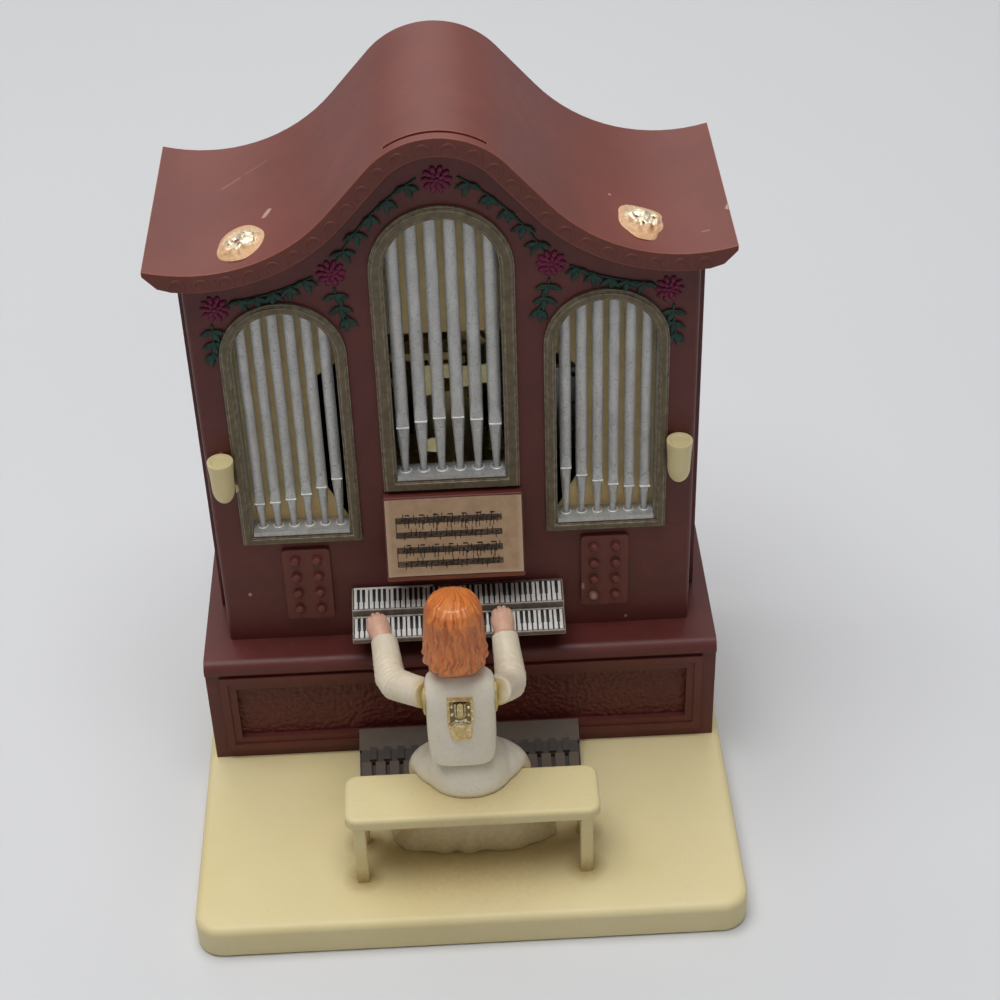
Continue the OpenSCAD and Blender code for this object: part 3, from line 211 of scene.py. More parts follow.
class Finish(Nodes):
    """A material with one Principled shader."""

    def __init__(self, name, roughness=0.5, metallic=0.0, gloss=0.4):
        self.material = bpy.data.materials.new(name)
        self.material.use_nodes = True
        super().__init__(self.material.node_tree)
        self.shader = self.tree.nodes["Principled BSDF"]
        self.shader.inputs["Roughness"].default_value = roughness
        self.shader.inputs["Metallic"].default_value = metallic
        self.shader.inputs["Specular IOR Level"].default_value = gloss
        self.place = self.node("ShaderNodeTexCoord", out="Object")
        split = self.node("ShaderNodeSeparateXYZ", None, {0: self.place}, out=None)
        self.x, self.y, self.z = (Wire(self, split.outputs[i]) for i in range(3))

    def vector(self, operation, first, second, out=0):
        return self.node("ShaderNodeVectorMath", {"operation": operation}, {0: first, 1: second}, out)

    def noise(self, size, detail, stretch=(1, 1, 1)):
        """Cloudy noise from 0 to 1 whose blobs are about size metres wide."""
        place = self.place
        if stretch != (1, 1, 1):
            place = self.node("ShaderNodeMapping", None, {"Vector": self.place, "Scale": stretch})
        sockets = {"Vector": place, "Scale": 1 / size, "Detail": detail, "Roughness": NOISE_ROUGHNESS}
        return self.node("ShaderNodeTexNoise", None, sockets)

    def cells(self, size):
        """Soft round cells about size metres wide."""
        sockets = {"Vector": self.place, "Scale": 1 / size}
        return self.node("ShaderNodeTexVoronoi", {"feature": "SMOOTH_F1"}, sockets)

    def mix(self, share, first, second):
        """Colours: first where share is 0, second where it is 1."""
        first, second = (c if isinstance(c, Wire) else (*c, 1) for c in (first, second))
        sockets = {0: share, 6: first, 7: second}
        return self.node("ShaderNodeMix", {"data_type": "RGBA"}, sockets, out=2)

    def bump(self, height, strength, distance):
        sockets = {"Height": height, "Strength": strength, "Distance": distance}
        return self.node("ShaderNodeBump", None, sockets)

    def near(self, point, radius):
        """1 at a point, fading to 0 at a radius."""
        return 1 - self.vector("DISTANCE", self.place, point, 1).ramp(0.0, radius)

    def streak(self, first, last, radius):
        """1 along a straight mark from one point to another, fading to 0 at a radius."""
        run = last - first
        offset = self.vector("SUBTRACT", self.place, first)
        share = self.vector("DOT_PRODUCT", offset, run / run.length_squared, 1).ramp(0.0, 1.0)
        foot = self.node("ShaderNodeVectorMath", {"operation": "SCALE"}, {0: run, "Scale": share})
        return 1 - self.vector("DISTANCE", offset, foot, 1).ramp(0.0, radius)

    def paint(self, **sockets):
        """Feed the shader: colour=, roughness=, normal=, metallic=."""
        names = {"colour": "Base Color", "roughness": "Roughness", "normal": "Normal",
                 "metallic": "Metallic"}
        for key, value in sockets.items():
            socket = self.shader.inputs[names[key]]
            if isinstance(value, Wire):
                self.tree.links.new(value.socket, socket)
            else:
                socket.default_value = value
        return self.material


print("finishes ready to mix")

# %% [markdown]
# ## Finishes of the plastics
#
# Old injection-moulded plastic isn't one flat colour. The brown has faint flow clouds and a dull bloom, the
# cream has yellowed and taken dust into its pores, the silver and bronze coats are thin and speckled. Each
# finish mixes two or three tones by noise, and lets the same noise change the roughness.

# %% Brown plastic: plain, pebbled, faded with a painted sheen, and rubbed with a painted highlight at the edges
SCUFF = (0.46, 0.29, 0.24)


def brown_plastic(name, dark, light, grain=0.0, marks=()):
    """Marks are pale scuffs, each from one point to another with a radius and a depth."""
    finish = Finish(name, gloss=0.36)
    clouds = finish.noise(14 * MM, 4)
    bloom = finish.noise(2.2 * MM, 5)
    specks = finish.noise(0.5 * MM, 2).ramp(0.66, 0.72)
    colour = finish.mix(clouds.ramp(0.3, 0.7), dark, light)
    colour = finish.mix(bloom.ramp(0.5, 0.8) * 0.2, colour, [1.3 * c + 0.02 for c in light])
    colour = finish.mix(specks * 0.3, colour, [0.45 * c for c in dark])
    for first, last, radius, depth in marks:
        streak = finish.streak(Vector(first) * MM, Vector(last) * MM, radius * MM)
        scuff = (streak * (0.5 + bloom)).ramp(0.2, 0.6)
        colour = finish.mix(scuff * depth, colour, SCUFF)
    height = bloom * 0.4 + finish.noise(0.35 * MM, 2) * 0.3
    if grain:
        pebbles = finish.cells(0.9 * MM)
        height = height * 0.3 + pebbles * grain
        colour = finish.mix(pebbles.ramp(0.25, 0.75) * 0.3, colour, [0.5 * c for c in dark])
    normal = finish.bump(height, 0.9 if grain else 0.12, (0.45 if grain else 0.2) * MM)
    return finish.paint(colour=colour, roughness=0.38 + bloom * 0.16, normal=normal)


BROWN_DARK, BROWN_LIGHT = (0.092, 0.0192, 0.0158), (0.122, 0.0262, 0.0208)
ROOF_MARKS = [((-29.9, 16.4, 118.5), (-29.1, 18.0, 118.8), 0.75, 0.9),
              ((-38.2, 30.4, 116.4), (-35.2, 33.2, 116.9), 0.4, 0.22),
              ((-34.2, 34.2, 117.1), (-30.4, 36.8, 118.3), 0.35, 0.16),
              ((49.7, 14.4, 117.3), (50.0, 15.2, 117.4), 0.8, 0.9),
              ((29.6, 18.4, 118.6), (29.7, 18.6, 118.6), 0.4, 0.7),
              ((44.6, 8.4, 116.4), (45.8, 8.6, 116.5), 0.3, 0.4)]
FACADE_MARKS = [((-39.3, 5.1, 43.2), (-39.3, 5.1, 43.4), 0.5, 1.0),
                ((32.2, 5.1, 33.3), (32.2, 5.1, 33.5), 0.4, 0.9),
                ((23.9, 4.6, 41.6), (23.9, 4.6, 42.6), 0.6, 0.9),
                ((-41.6, 5.1, 74), (-41.2, 5.1, 77), 0.4, 0.4)]
KNOB_MARK = ((25.8, 3.6, 40.0), (25.8, 3.9, 40.2), 1.15, 0.6)
BROWN = brown_plastic("brown_plastic", BROWN_DARK, BROWN_LIGHT, marks=FACADE_MARKS)
PEBBLED = brown_plastic("pebbled_brown", (0.094, 0.0165, 0.0130), (0.124, 0.0225, 0.0172), 1.0)
# The roof's lighter brown is partly faded plastic and partly a painted sheen of the top light.
FADED_AND_SHEEN = brown_plastic("faded_sheen_brown", (0.138, 0.0325, 0.0230), (0.172, 0.0415, 0.0295), marks=ROOF_MARKS)
STOP_BROWN = brown_plastic("stop_brown", (0.120, 0.027, 0.020), (0.155, 0.036, 0.026),
                           marks=[KNOB_MARK, FACADE_MARKS[2]])
# Rubbed wear, and on the roof's rounded edges also a painted highlight.
RUBBED_AND_HIGHLIT = brown_plastic("rubbed_highlit_brown", (0.24, 0.066, 0.032), (0.31, 0.094, 0.048))
FASCIA = brown_plastic("fascia_brown", (0.122, 0.028, 0.0185), (0.155, 0.037, 0.025))
print("finishes:", [m.name for m in (BROWN, PEBBLED, FADED_AND_SHEEN, STOP_BROWN, RUBBED_AND_HIGHLIT, FASCIA)])

# %% Cream plastic of the base, with glue and dust about the bench


def cream_plastic(name, stains=(), dusty=0.0):
    finish = Finish(name)
    clouds = finish.noise(18 * MM, 4)
    pores = finish.noise(0.9 * MM, 4)
    dust = finish.noise(0.42 * MM, 2).ramp(0.66, 0.74)
    colour = finish.mix(clouds.ramp(0.3, 0.72), (0.71, 0.595, 0.305), (0.76, 0.655, 0.375))
    patches = finish.noise(9 * MM, 5).ramp(0.52, 0.78)
    colour = finish.mix(patches * 0.22, colour, (0.62, 0.50, 0.24))
    colour = finish.mix((dust * (patches * 0.8 + dusty)).at_most(1.0), colour, (0.33, 0.24, 0.12))
    for point, radius, depth in stains:
        spread = finish.near(point, radius)
        ragged = (spread * (0.55 + pores)).at_most(1.0)
        colour = finish.mix(ragged * depth, colour, (0.36, 0.23, 0.08))
    height = pores * 0.6 + finish.noise(0.3 * MM, 2) * 0.3
    roughness = 0.40 + pores * 0.18
    return finish.paint(colour=colour, roughness=roughness, normal=finish.bump(height, 0.10, 0.2 * MM))


bench_low, bench_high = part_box("bench")
base_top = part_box("base_plate")[1].z
LEG_INSET = 2.6 * MM
stains = [(Vector((x, y, base_top)), 4.2 * MM, 0.85)
          for x in (bench_low.x + LEG_INSET, bench_high.x - LEG_INSET)
          for y in (bench_low.y + 1.4 * MM, bench_high.y - 1.4 * MM)]
under_bench = Vector(((bench_low.x + bench_high.x) / 2, bench_low.y + 4 * MM, base_top))
stains.append((Vector((0, (bench_low.y + bench_high.y) / 2, bench_high.z)), 12 * MM, 0.35))
stains += [(under_bench + Vector((side * 9 * MM, 0, 0)), 17 * MM, 0.30) for side in (-1, 0, 1)]
CREAM = cream_plastic("cream_plastic", stains)
BENCH = cream_plastic("bench_plastic", stains, 0.45)
print("finishes:", CREAM.name, BENCH.name, "with", len(stains), "stains")

# %% Thin coats, gilt card and metals


def bronze_coat(name, dark, light):
    finish = Finish(name, metallic=0.25)
    rubbed = finish.noise(1.1 * MM, 5)
    grain = finish.noise(0.3 * MM, 2)
    colour = finish.mix(rubbed.ramp(0.35, 0.7), dark, light)
    colour = finish.mix(grain.ramp(0.6, 0.75) * 0.3, colour, [1.5 * c for c in light])
    normal = finish.bump(rubbed * 0.6 + grain * 0.4, 0.22, 0.2 * MM)
    return finish.paint(colour=colour, roughness=0.36 + rubbed * 0.2, normal=normal)


def silver_coat(name, dark, light):
    finish = Finish(name, metallic=0.4)
    clouds = finish.noise(2.2 * MM, 4, stretch=(1, 1, 0.5))
    specks = finish.noise(0.4 * MM, 3).ramp(0.56, 0.70)
    grain = finish.noise(0.22 * MM, 2)
    colour = finish.mix(clouds.ramp(0.3, 0.7), dark, light)
    colour = finish.mix(grain.ramp(0.4, 0.7) * 0.3, colour, [1.3 * c for c in light])
    colour = finish.mix(specks * 0.55, colour, [0.45 * c for c in dark])
    normal = finish.bump(clouds * 0.5 + specks * 0.3 + grain * 0.3, 0.25, 0.15 * MM)
    return finish.paint(colour=colour, roughness=0.38 + clouds * 0.16, normal=normal)


def gold_card():
    """Gilt card behind the pipes, gone orange towards its foot."""
    finish = Finish("gold_card")
    mottle = finish.noise(2 * MM, 4)
    colour = finish.mix(mottle.ramp(0.3, 0.7), (0.88, 0.66, 0.27), (0.98, 0.80, 0.42))
    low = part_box("window_frame_left")[0]
    rust = (1 - finish.z.ramp(low.z, low.z + 14 * MM)) * mottle.ramp(0.35, 0.65)
    colour = finish.mix(rust * 0.7, colour, (0.72, 0.36, 0.09))
    return finish.paint(colour=colour, roughness=0.42 + mottle * 0.2)


def metal(name, dark, light, roughness, metallic=1.0):
    finish = Finish(name, metallic=metallic)
    brushed = finish.noise(0.7 * MM, 4, stretch=(1, 1, 0.15))
    colour = finish.mix(brushed.ramp(0.3, 0.7), dark, light)
    return finish.paint(colour=colour, roughness=roughness + brushed * 0.15,
                        normal=finish.bump(brushed, 0.08, 0.1 * MM))


BRONZE = bronze_coat("bronze_coat", (0.100, 0.076, 0.042), (0.158, 0.122, 0.072))
BRONZE_EDGE = bronze_coat("bronze_edge", (0.13, 0.105, 0.065), (0.34, 0.30, 0.22))
KEY_FRAME = bronze_coat("key_frame", (0.112, 0.086, 0.066), (0.185, 0.148, 0.118))
KEY_FRAME_EDGE = bronze_coat("key_frame_edge", (0.27, 0.23, 0.195), (0.48, 0.43, 0.38))
SILVER = silver_coat("silver_coat", (0.39, 0.39, 0.38), (0.54, 0.54, 0.525))
# Painted highlight: near-white silver on the pipes' rounded edges, the mouth lines and the foot collars.
SILVER_HIGHLIGHT = silver_coat("silver_highlight", (0.72, 0.72, 0.72), (0.92, 0.92, 0.92))
GOLD_CARD = gold_card()
BRASS = metal("brass", (0.58, 0.45, 0.19), (0.78, 0.65, 0.34), 0.28, 0.7)
STEEL = metal("steel", (0.42, 0.42, 0.43), (0.58, 0.58, 0.59), 0.26)
print("finishes:", BRONZE.name, SILVER.name, GOLD_CARD.name, BRASS.name, STEEL.name)

# %% Pedals
PEDAL_FALL = 0.511
PEDAL_PLATE, SHARP_LEN = 3.9 * MM, 2.2 * MM


def pedal_plastic_with_painted_shade():
    """Grey-brown on the plate and the long pedals; painted shade turns the short ones and the gaps near
    black.
    """
    finish = Finish("pedal_plastic", gloss=0.25)
    clouds = finish.noise(2.5 * MM, 4)
    colour = finish.mix(clouds.ramp(0.3, 0.7), (0.070, 0.046, 0.030), (0.104, 0.072, 0.049))
    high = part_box("pedalboard")[1]
    out = high.y - finish.y
    lift = finish.z - high.z + out * PEDAL_FALL
    # Painted shade: the row of short pedals, and every face off the plate's sloping plane, go near black.
    row = (out > PEDAL_PLATE) * (out < PEDAL_PLATE + SHARP_LEN)
    dark = (row * 0.75).at_least(abs(lift).ramp(0.08 * MM, 0.3 * MM) * 0.85)
    colour = finish.mix(dark, colour, (0.020, 0.013, 0.009))
    return finish.paint(colour=colour, roughness=0.42 + clouds * 0.2,
                        normal=finish.bump(clouds, 0.15, 0.2 * MM))


PEDAL = pedal_plastic_with_painted_shade()
print("finish:", PEDAL.name)

# %% Gown, with old glue at the shoulders, a yellow-brown band on the seat, and painted shade on the skirt


def gown_plastic(name, stain_and_shade=None, dark=(0.80, 0.725, 0.58), light=(0.87, 0.805, 0.67)):
    """The extra mark is a function of the finish that gives its share: glue on the shoulders, a band on the
    seat, painted shade on the skirt.
    """
    finish = Finish(name)
    clouds = finish.noise(5 * MM, 4)
    grime = finish.noise(1.4 * MM, 5).ramp(0.58, 0.8)
    colour = finish.mix(clouds.ramp(0.3, 0.7), dark, light)
    colour = finish.mix(grime * 0.25, colour, (0.50, 0.43, 0.30))
    specks = finish.noise(0.35 * MM, 2).ramp(0.68, 0.74)
    colour = finish.mix(specks * 0.6, colour, (0.22, 0.18, 0.12))
    if stain_and_shade:
        share = (stain_and_shade(finish) * (0.45 + finish.noise(1.1 * MM, 4))).at_most(1.0)
        colour = finish.mix(share, colour, (0.52, 0.38, 0.13))
    return finish.paint(colour=colour, roughness=0.36 + clouds * 0.18,
                        normal=finish.bump(clouds + grime * 0.4, 0.12, 0.2 * MM))


torso_low, torso_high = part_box("torso")
torso_x = (torso_low.x + torso_high.x) / 2
skirt_low, skirt_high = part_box("skirt")


def shoulder_stain(finish):
    side = abs(finish.x - torso_x) - (torso_high.x - torso_x)
    return (1 - side.ramp(0.5 * MM, 2.2 * MM)) * (1 - (finish.y - torso_high.y).ramp(-4.5 * MM, -2.5 * MM))


def seat_band_and_smudge(finish):
    # Darker and yellower within 1.1 mm of the bench top, with one smudge.
    line = 1 - (finish.z - bench_high.z).ramp(0.0, 1.1 * MM)
    smudge = finish.near(Vector((4.2, bench_low.y / MM + 2, bench_high.z / MM + 3.4)) * MM, 2.6 * MM)
    return line * 0.55 + smudge * 0.3


# Painted shade and yellow bounce light under the bench: the whole skirt darkens, most at its foot.
def hem_painted_shade(finish):
    return 0.35 + 0.4 * (1 - (finish.z - skirt_low.z).ramp(0.0, skirt_high.z - skirt_low.z))


GOWN = gown_plastic("gown_plastic")
SLEEVE = gown_plastic("sleeve_plastic", shoulder_stain, (0.73, 0.625, 0.465), (0.81, 0.715, 0.555))
SEAT = gown_plastic("seat_plastic", seat_band_and_smudge)
HEM = gown_plastic("hem_plastic", hem_painted_shade)
print("finishes:", [m.name for m in (GOWN, SLEEVE, SEAT, HEM)])

# %% Skin and hair


def skin_paint():
    finish = Finish("skin_paint")
    blush = finish.noise(2 * MM, 3)
    colour = finish.mix(blush.ramp(0.3, 0.7), (0.68, 0.385, 0.27), (0.80, 0.50, 0.37))
    return finish.paint(colour=colour, roughness=0.34 + blush * 0.12)


hair_low, hair_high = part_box("hair")
crown = Vector(((hair_low.x + hair_high.x) / 2, (hair_low.y + hair_high.y) / 2, hair_high.z))
parting = crown + Vector((0.5, 3.6, 0)) * MM


def hair_paint():
    """Strands that fan out from the parting: the noise runs round the head fast and down it slowly."""
    finish = Finish("hair_paint", gloss=0.5)
    tone = finish.noise(3 * MM, 3)
    sway = (tone - 0.5) * 0.35
    across, back = finish.x - parting.x, parting.y - finish.y
    round_head = across.maths("ARCTAN2", across, back)
    place = finish.node("ShaderNodeCombineXYZ", None, {0: round_head + sway, 2: finish.z * 14})
    strands = finish.node("ShaderNodeTexNoise", None, {"Vector": place, "Scale": 13, "Detail": 2})
    colour = finish.mix(strands.ramp(0.36, 0.64), (0.40, 0.092, 0.019), (0.80, 0.245, 0.052))
    colour = finish.mix(tone.ramp(0.5, 0.8) * 0.35, colour, (0.90, 0.38, 0.12))
    return finish.paint(colour=colour, roughness=0.24 + tone * 0.12,
                        normal=finish.bump(strands, 0.3, 0.3 * MM))


SKIN = skin_paint()
HAIR = hair_paint()
print("finishes:", SKIN.name, HAIR.name)

# %% Printed keys, ink, garland paint and glue


def two_tone(name, first, second, size, roughness, relief=0.1):
    finish = Finish(name, gloss=0.3)
    tone = finish.noise(size, 4)
    colour = finish.mix(tone.ramp(0.32, 0.68), first, second)
    return finish.paint(colour=colour, roughness=roughness + tone * 0.14,
                        normal=finish.bump(tone, relief, 0.2 * MM))


KEY_WHITE = two_tone("key_white", (0.66, 0.64, 0.60), (0.80, 0.78, 0.74), 1.1 * MM, 0.34)
KEY_BLACK = two_tone("key_black", (0.008, 0.008, 0.009), (0.016, 0.015, 0.015), 0.8 * MM, 0.30)
INK = two_tone("ink", (0.012, 0.010, 0.008), (0.040, 0.030, 0.022), 0.5 * MM, 0.6)
FLOWER = two_tone("flower_paint", (0.095, 0.004, 0.027), (0.20, 0.012, 0.060), 0.6 * MM, 0.34, 0.3)
LEAF = two_tone("leaf_paint", (0.0020, 0.014, 0.010), (0.008, 0.060, 0.039), 0.7 * MM, 0.26, 0.3)
BRIGHT_GILT = metal("bright_gilt", (0.70, 0.58, 0.36), (0.90, 0.80, 0.60), 0.14, 0.85)
PALE_CARD = two_tone("pale_card", (0.70, 0.62, 0.30), (0.86, 0.78, 0.46), 1.0 * MM, 0.5)
GLUE = two_tone("old_glue", (0.50, 0.36, 0.12), (0.70, 0.56, 0.26), 0.8 * MM, 0.24, 0.4)
print("finishes:", [m.name for m in (KEY_WHITE, KEY_BLACK, INK, FLOWER, LEAF, GLUE)])

# %% Old paper
paper_low, paper_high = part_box("sheet_music")


def old_paper():
    finish = Finish("old_paper", roughness=0.75)
    fibre = finish.noise(0.5 * MM, 4)
    foxing = finish.noise(2.6 * MM, 4)
    colour = finish.mix(foxing.ramp(0.34, 0.72), (0.49, 0.325, 0.20), (0.39, 0.25, 0.148))
    colour = finish.mix(fibre.ramp(0.55, 0.8) * 0.4, colour, (0.58, 0.43, 0.28))
    edge = abs(finish.x).ramp(paper_high.x - 1.1 * MM, paper_high.x)
    foot = 1 - finish.z.ramp(paper_low.z, paper_low.z + 1.0 * MM)
    worn = (edge.at_least(foot) * (0.35 + foxing)).at_most(1.0)
    colour = finish.mix(worn * 0.7, colour, (0.62, 0.47, 0.33))
    return finish.paint(colour=colour, normal=finish.bump(fibre, 0.15, 0.1 * MM))


PAPER = old_paper()
print("finish:", PAPER.name)

# %% [markdown]
# ## Floor paper and sky
#
# Near the object the floor is pale paper. Far out, where the lamps don't reach, it turns into the tent's
# wall, so no dark band shows behind the object from any side. The walls give little light of their own, but
# glossy plastic mirrors them, so the sky is brighter for mirror rays and the camera than for the rest.

# %% Paper that turns into the wall
FLOOR_DARK, FLOOR_LIGHT = (0.655, 0.66, 0.675), (0.68, 0.685, 0.695)
PAPER_ENDS, WALL_STARTS = 0.45, 1.1
SKY_COLOUR = (0.97, 0.98, 1.0)
WALL_STRENGTH = 0.48

paper_roll = Finish("paper_roll", roughness=0.8)
paper_tone = paper_roll.noise(0.4, 2)
paper_colour = paper_roll.mix(paper_tone.ramp(0.3, 0.7), FLOOR_DARK, FLOOR_LIGHT)
floor.data.materials.append(paper_roll.paint(colour=paper_colour))
distance = (paper_roll.x * paper_roll.x + paper_roll.y * paper_roll.y) ** 0.5
far = distance.ramp(PAPER_ENDS, WALL_STARTS)
wall = paper_roll.node("ShaderNodeEmission", None, {"Color": (*SKY_COLOUR, 1), "Strength": WALL_STRENGTH})
paper = Wire(paper_roll, paper_roll.shader.outputs[0])
ground = paper_roll.node("ShaderNodeMixShader", None, {0: far, 1: paper, 2: wall})
paper_roll.node("ShaderNodeOutputMaterial", {"is_active_output": True}, {"Surface": ground}, out=None)
print("floor finish ready")

# %% Sky of the tent
SKY_STRENGTH = 0.10

world = bpy.data.worlds.new("tent")
scene.world = world
world.use_nodes = True
sky = Nodes(world.node_tree)
camera_ray, mirror_ray = (sky.node("ShaderNodeLightPath", out=ray)
                          for ray in ("Is Camera Ray", "Is Glossy Ray"))
glow = camera_ray.at_least(mirror_ray) * (WALL_STRENGTH - SKY_STRENGTH) + SKY_STRENGTH
background = sky.tree.nodes["Background"]
background.inputs["Color"].default_value = (*SKY_COLOUR, 1)
sky.tree.links.new(glow.socket, background.inputs["Strength"])
print("sky ready")

# %% [markdown]
# ## Working by hand in code
#
# The helpers below do what a modeller does with the mouse: clear the selection, add a primitive, and pick
# faces or edges by where they are, so that an edit-mode tool can run on them. `settle` moves a piece's place
# into its mesh.

# %% Choosing and picking


def fresh():
    if bpy.context.object and bpy.context.object.mode != "OBJECT":
        bpy.ops.object.mode_set(mode="OBJECT")
    bpy.ops.object.select_all(action="DESELECT")


def chosen(piece):
    """Clear the selection and make one piece the active one."""
    fresh()
    piece.select_set(True)
    bpy.context.view_layer.objects.active = piece


def settle(piece):
    chosen(piece)
    bpy.ops.object.transform_apply(location=True, rotation=True, scale=True)
    return piece


def added(name, size=(1, 1, 1), turn=(0, 0, 0)):
    """Name the primitive that was just added, size it, turn it and settle it."""
    piece = bpy.context.object
    piece.name = name
    piece.scale = size
    piece.rotation_euler = turn
    return settle(piece)


def pick(piece, kind, test):
    """Go into edit mode with the faces, edges or points chosen whose middle passes a test."""
    chosen(piece)
    bpy.ops.object.mode_set(mode="EDIT")
    bpy.ops.mesh.select_mode(type=kind)
    bpy.ops.mesh.select_all(action="DESELECT")
    bpy.ops.object.mode_set(mode="OBJECT")
    points = piece.data.vertices
    if kind == "FACE":
        for face in piece.data.polygons:
            face.select = bool(test(face.center, face.normal))
    elif kind == "EDGE":
        for edge in piece.data.edges:
            a, b = (points[i].co for i in edge.vertices)
            edge.select = bool(test((a + b) / 2, (b - a).normalized()))
    else:
        for point in points:
            point.select = bool(test(point.co, point.normal))
    bpy.ops.object.mode_set(mode="EDIT")


def whole(piece):
    """Go into edit mode with all of a piece chosen."""
    pick(piece, "VERT", lambda at, normal: True)
    bpy.ops.mesh.select_all(action="SELECT")


def done():
    bpy.ops.object.mode_set(mode="OBJECT")


print("picking helpers ready")

# %% [markdown]
# ### Modifiers and copies
#
# A modifier is added, set and applied in one go. Patterns are copied, moved by a matrix and joined.

# %% Modifiers, copies and places


def apply(piece, kind, **settings):
    """Add a modifier, set it and apply it."""
    chosen(piece)
    modifier = piece.modifiers.new(kind.lower(), kind)
    for key, value in settings.items():
        setattr(modifier, key, value)
    bpy.ops.object.modifier_apply(modifier=modifier.name)
    return piece


def smooth(piece, angle=32):
    chosen(piece)
    bpy.ops.object.shade_smooth_by_angle(angle=math.radians(angle))
    return piece


def joined(name, pieces):
    fresh()
    for piece in pieces:
        piece.select_set(True)
    bpy.context.view_layer.objects.active = pieces[0]
    bpy.ops.object.join()
    pieces[0].name = name
    return pieces[0]


def copied(piece, name):
    twin = bpy.data.objects.new(name, piece.data.copy())
    scene.collection.objects.link(twin)
    return twin


def move_by(x, y, z):
    return Matrix.Translation((x, y, z))


def scale_by(x, y, z):
    return Matrix.Diagonal((x, y, z, 1))


def placed(piece, matrix):
    piece.data.transform(matrix)
    return piece


print("copying helpers ready")

# %% [markdown]
# ### From solid to dressed piece
#
# `fit` gives a piece a body to ride on and a finish, and hides the solids it stands for. `dressed` copies a
# solid and rounds its edges.

# %% Fitting and dressing
CORNER_R = 0.9 * MM
SAME_POINT = 0.002 * MM
FLAT = math.radians(0.6)


def fit(piece, body, slot, material, *nodes):
    if material:
        piece.data.materials.clear()
        piece.data.materials.append(material)
    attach(piece, body)
    if nodes:
        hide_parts(*nodes)
    return piece


def solid_copy(node, name):
    """A copy of a solid's mesh with its loose triangles merged into whole faces."""
    piece = copied(frame["nodes"][node], name)
    whole(piece)
    bpy.ops.mesh.remove_doubles(threshold=SAME_POINT)
    bpy.ops.mesh.dissolve_limited(angle_limit=FLAT)
    done()
    return piece


def dressed(node, material, edge=0.25, worn=None, angle=32, corners=None):
    """The solid again with rounded edges; a worn finish, if given, goes on them as wear, on some pieces as
    painted highlight.
    """
    piece = solid_copy(node, node + "_dressed")
    fit(piece, body_of[node], slot_of[node], material, node)
    if worn:
        piece.data.materials.append(worn)
    if corners:
        pick(piece, "EDGE", corners)
        bpy.ops.mesh.bevel(offset=CORNER_R, segments=4)
        done()
    if edge:
        apply(piece, "BEVEL", width=edge * MM, segments=2, limit_method="ANGLE",
              angle_limit=math.radians(angle), use_clamp_overlap=True, material=1 if worn else -1)
    smooth(piece, angle)
    return apply(piece, "WEIGHTED_NORMAL", keep_sharp=True) if edge else piece


print("dressing helpers ready")

# %% [markdown]
# ## Pieces kept in the solids' own shape
#
# The movement and its key, the screws, the bottom cover, the card behind the pipes and the pedalboard are
# right as they were built, so they stay and only take a finish.

# %% Finish the kept solids
KEPT = {"cream_plastic": CREAM, "brown_plastic": BROWN, "bronze_plastic": BRONZE, "silver_plastic": SILVER,
        "gold_card": GOLD_CARD, "brass": BRASS, "steel": STEEL, "pedal_plastic": PEDAL, "gown_plastic": GOWN,
        "skin_plastic": SKIN, "hair_plastic": HAIR, "paper": PAPER, "key_print": KEY_WHITE,
        "flower_paint": FLOWER, "leaf_paint": LEAF}
for node, solid in frame["nodes"].items():
    solid.data.materials.clear()
    solid.data.materials.append(KEPT[slot_of[node]])
print("solids finished:", len(frame["nodes"]))

# %% [markdown]
# ## Case, roof and base
#
# These are large moulded shells. Their solids have the true outlines, so a copy of each gets small rounded
# edges, which is what catches the light on a real moulding.

# %% Dress the shells
for node, material, edge, worn in (
        ("base_plate", CREAM, 0, None), ("console", BROWN, 0.3, None),
        ("rear_case", BROWN, 0.4, None), ("back_cover", BROWN, 0.3, None), ("roof", FADED_AND_SHEEN, 0.45, RUBBED_AND_HIGHLIT),
        ("music_desk", STOP_BROWN, 0.3, None), ("keyboard", KEY_FRAME, 0.18, KEY_FRAME_EDGE),
        ("bench", BENCH, 0, None), ("stop_panel_left", STOP_BROWN, 0.15, None),
        ("stop_panel_right", STOP_BROWN, 0.15, None), ("lamp_left", CREAM, 0.2, None),
        ("lamp_right", CREAM, 0.2, None), ("window_frame_left", BRONZE, 0.14, BRONZE_EDGE),
        ("window_frame_centre", BRONZE, 0.14, BRONZE_EDGE), ("window_frame_right", BRONZE, 0.14, BRONZE_EDGE),
        ("pipes_left", SILVER, 0.1, SILVER_HIGHLIGHT), ("pipes_centre", SILVER, 0.1, SILVER_HIGHLIGHT),
        ("pipes_right", SILVER, 0.1, SILVER_HIGHLIGHT)):
    piece = dressed(node, material, edge, worn)
    print(piece.name, len(piece.data.polygons), "faces")
roof = bpy.data.objects["roof_dressed"]
# The roof's front faces take the fascia brown, without the painted sheen of its top.
roof.data.materials.append(FASCIA)
for face in roof.data.polygons:
    if face.normal.y < -0.8 and face.material_index == 0:
        face.material_index = 2

# %% [markdown]
# ### Corners and the panel
#
# The facade's upright front corners are rounder than its other edges, so they are picked by place and
# direction and bevelled first. Two finishes are then given out face by face: rubbed brown on the desk's lip,
# and a pebbled grain on the floor of the console's sunk panel.

# %% The facade has rounder corners
DESK_LIP = 1.8 * MM
case_low, case_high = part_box("front_case")


def front_corner(at, along):
    outside = min(at.x - case_low.x, case_high.x - at.x) < 0.1 * MM
    return outside and at.y - case_low.y < 0.1 * MM and abs(along.z) > 0.9


dressed("front_case", BROWN, 0.3, corners=front_corner)
desk = bpy.data.objects["music_desk_dressed"]
desk.data.materials.append(RUBBED_AND_HIGHLIT)
for face in desk.data.polygons:
    face.material_index = int(face.center.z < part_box("music_desk")[0].z + DESK_LIP)
print("facade corners rounded, desk lip rubbed")

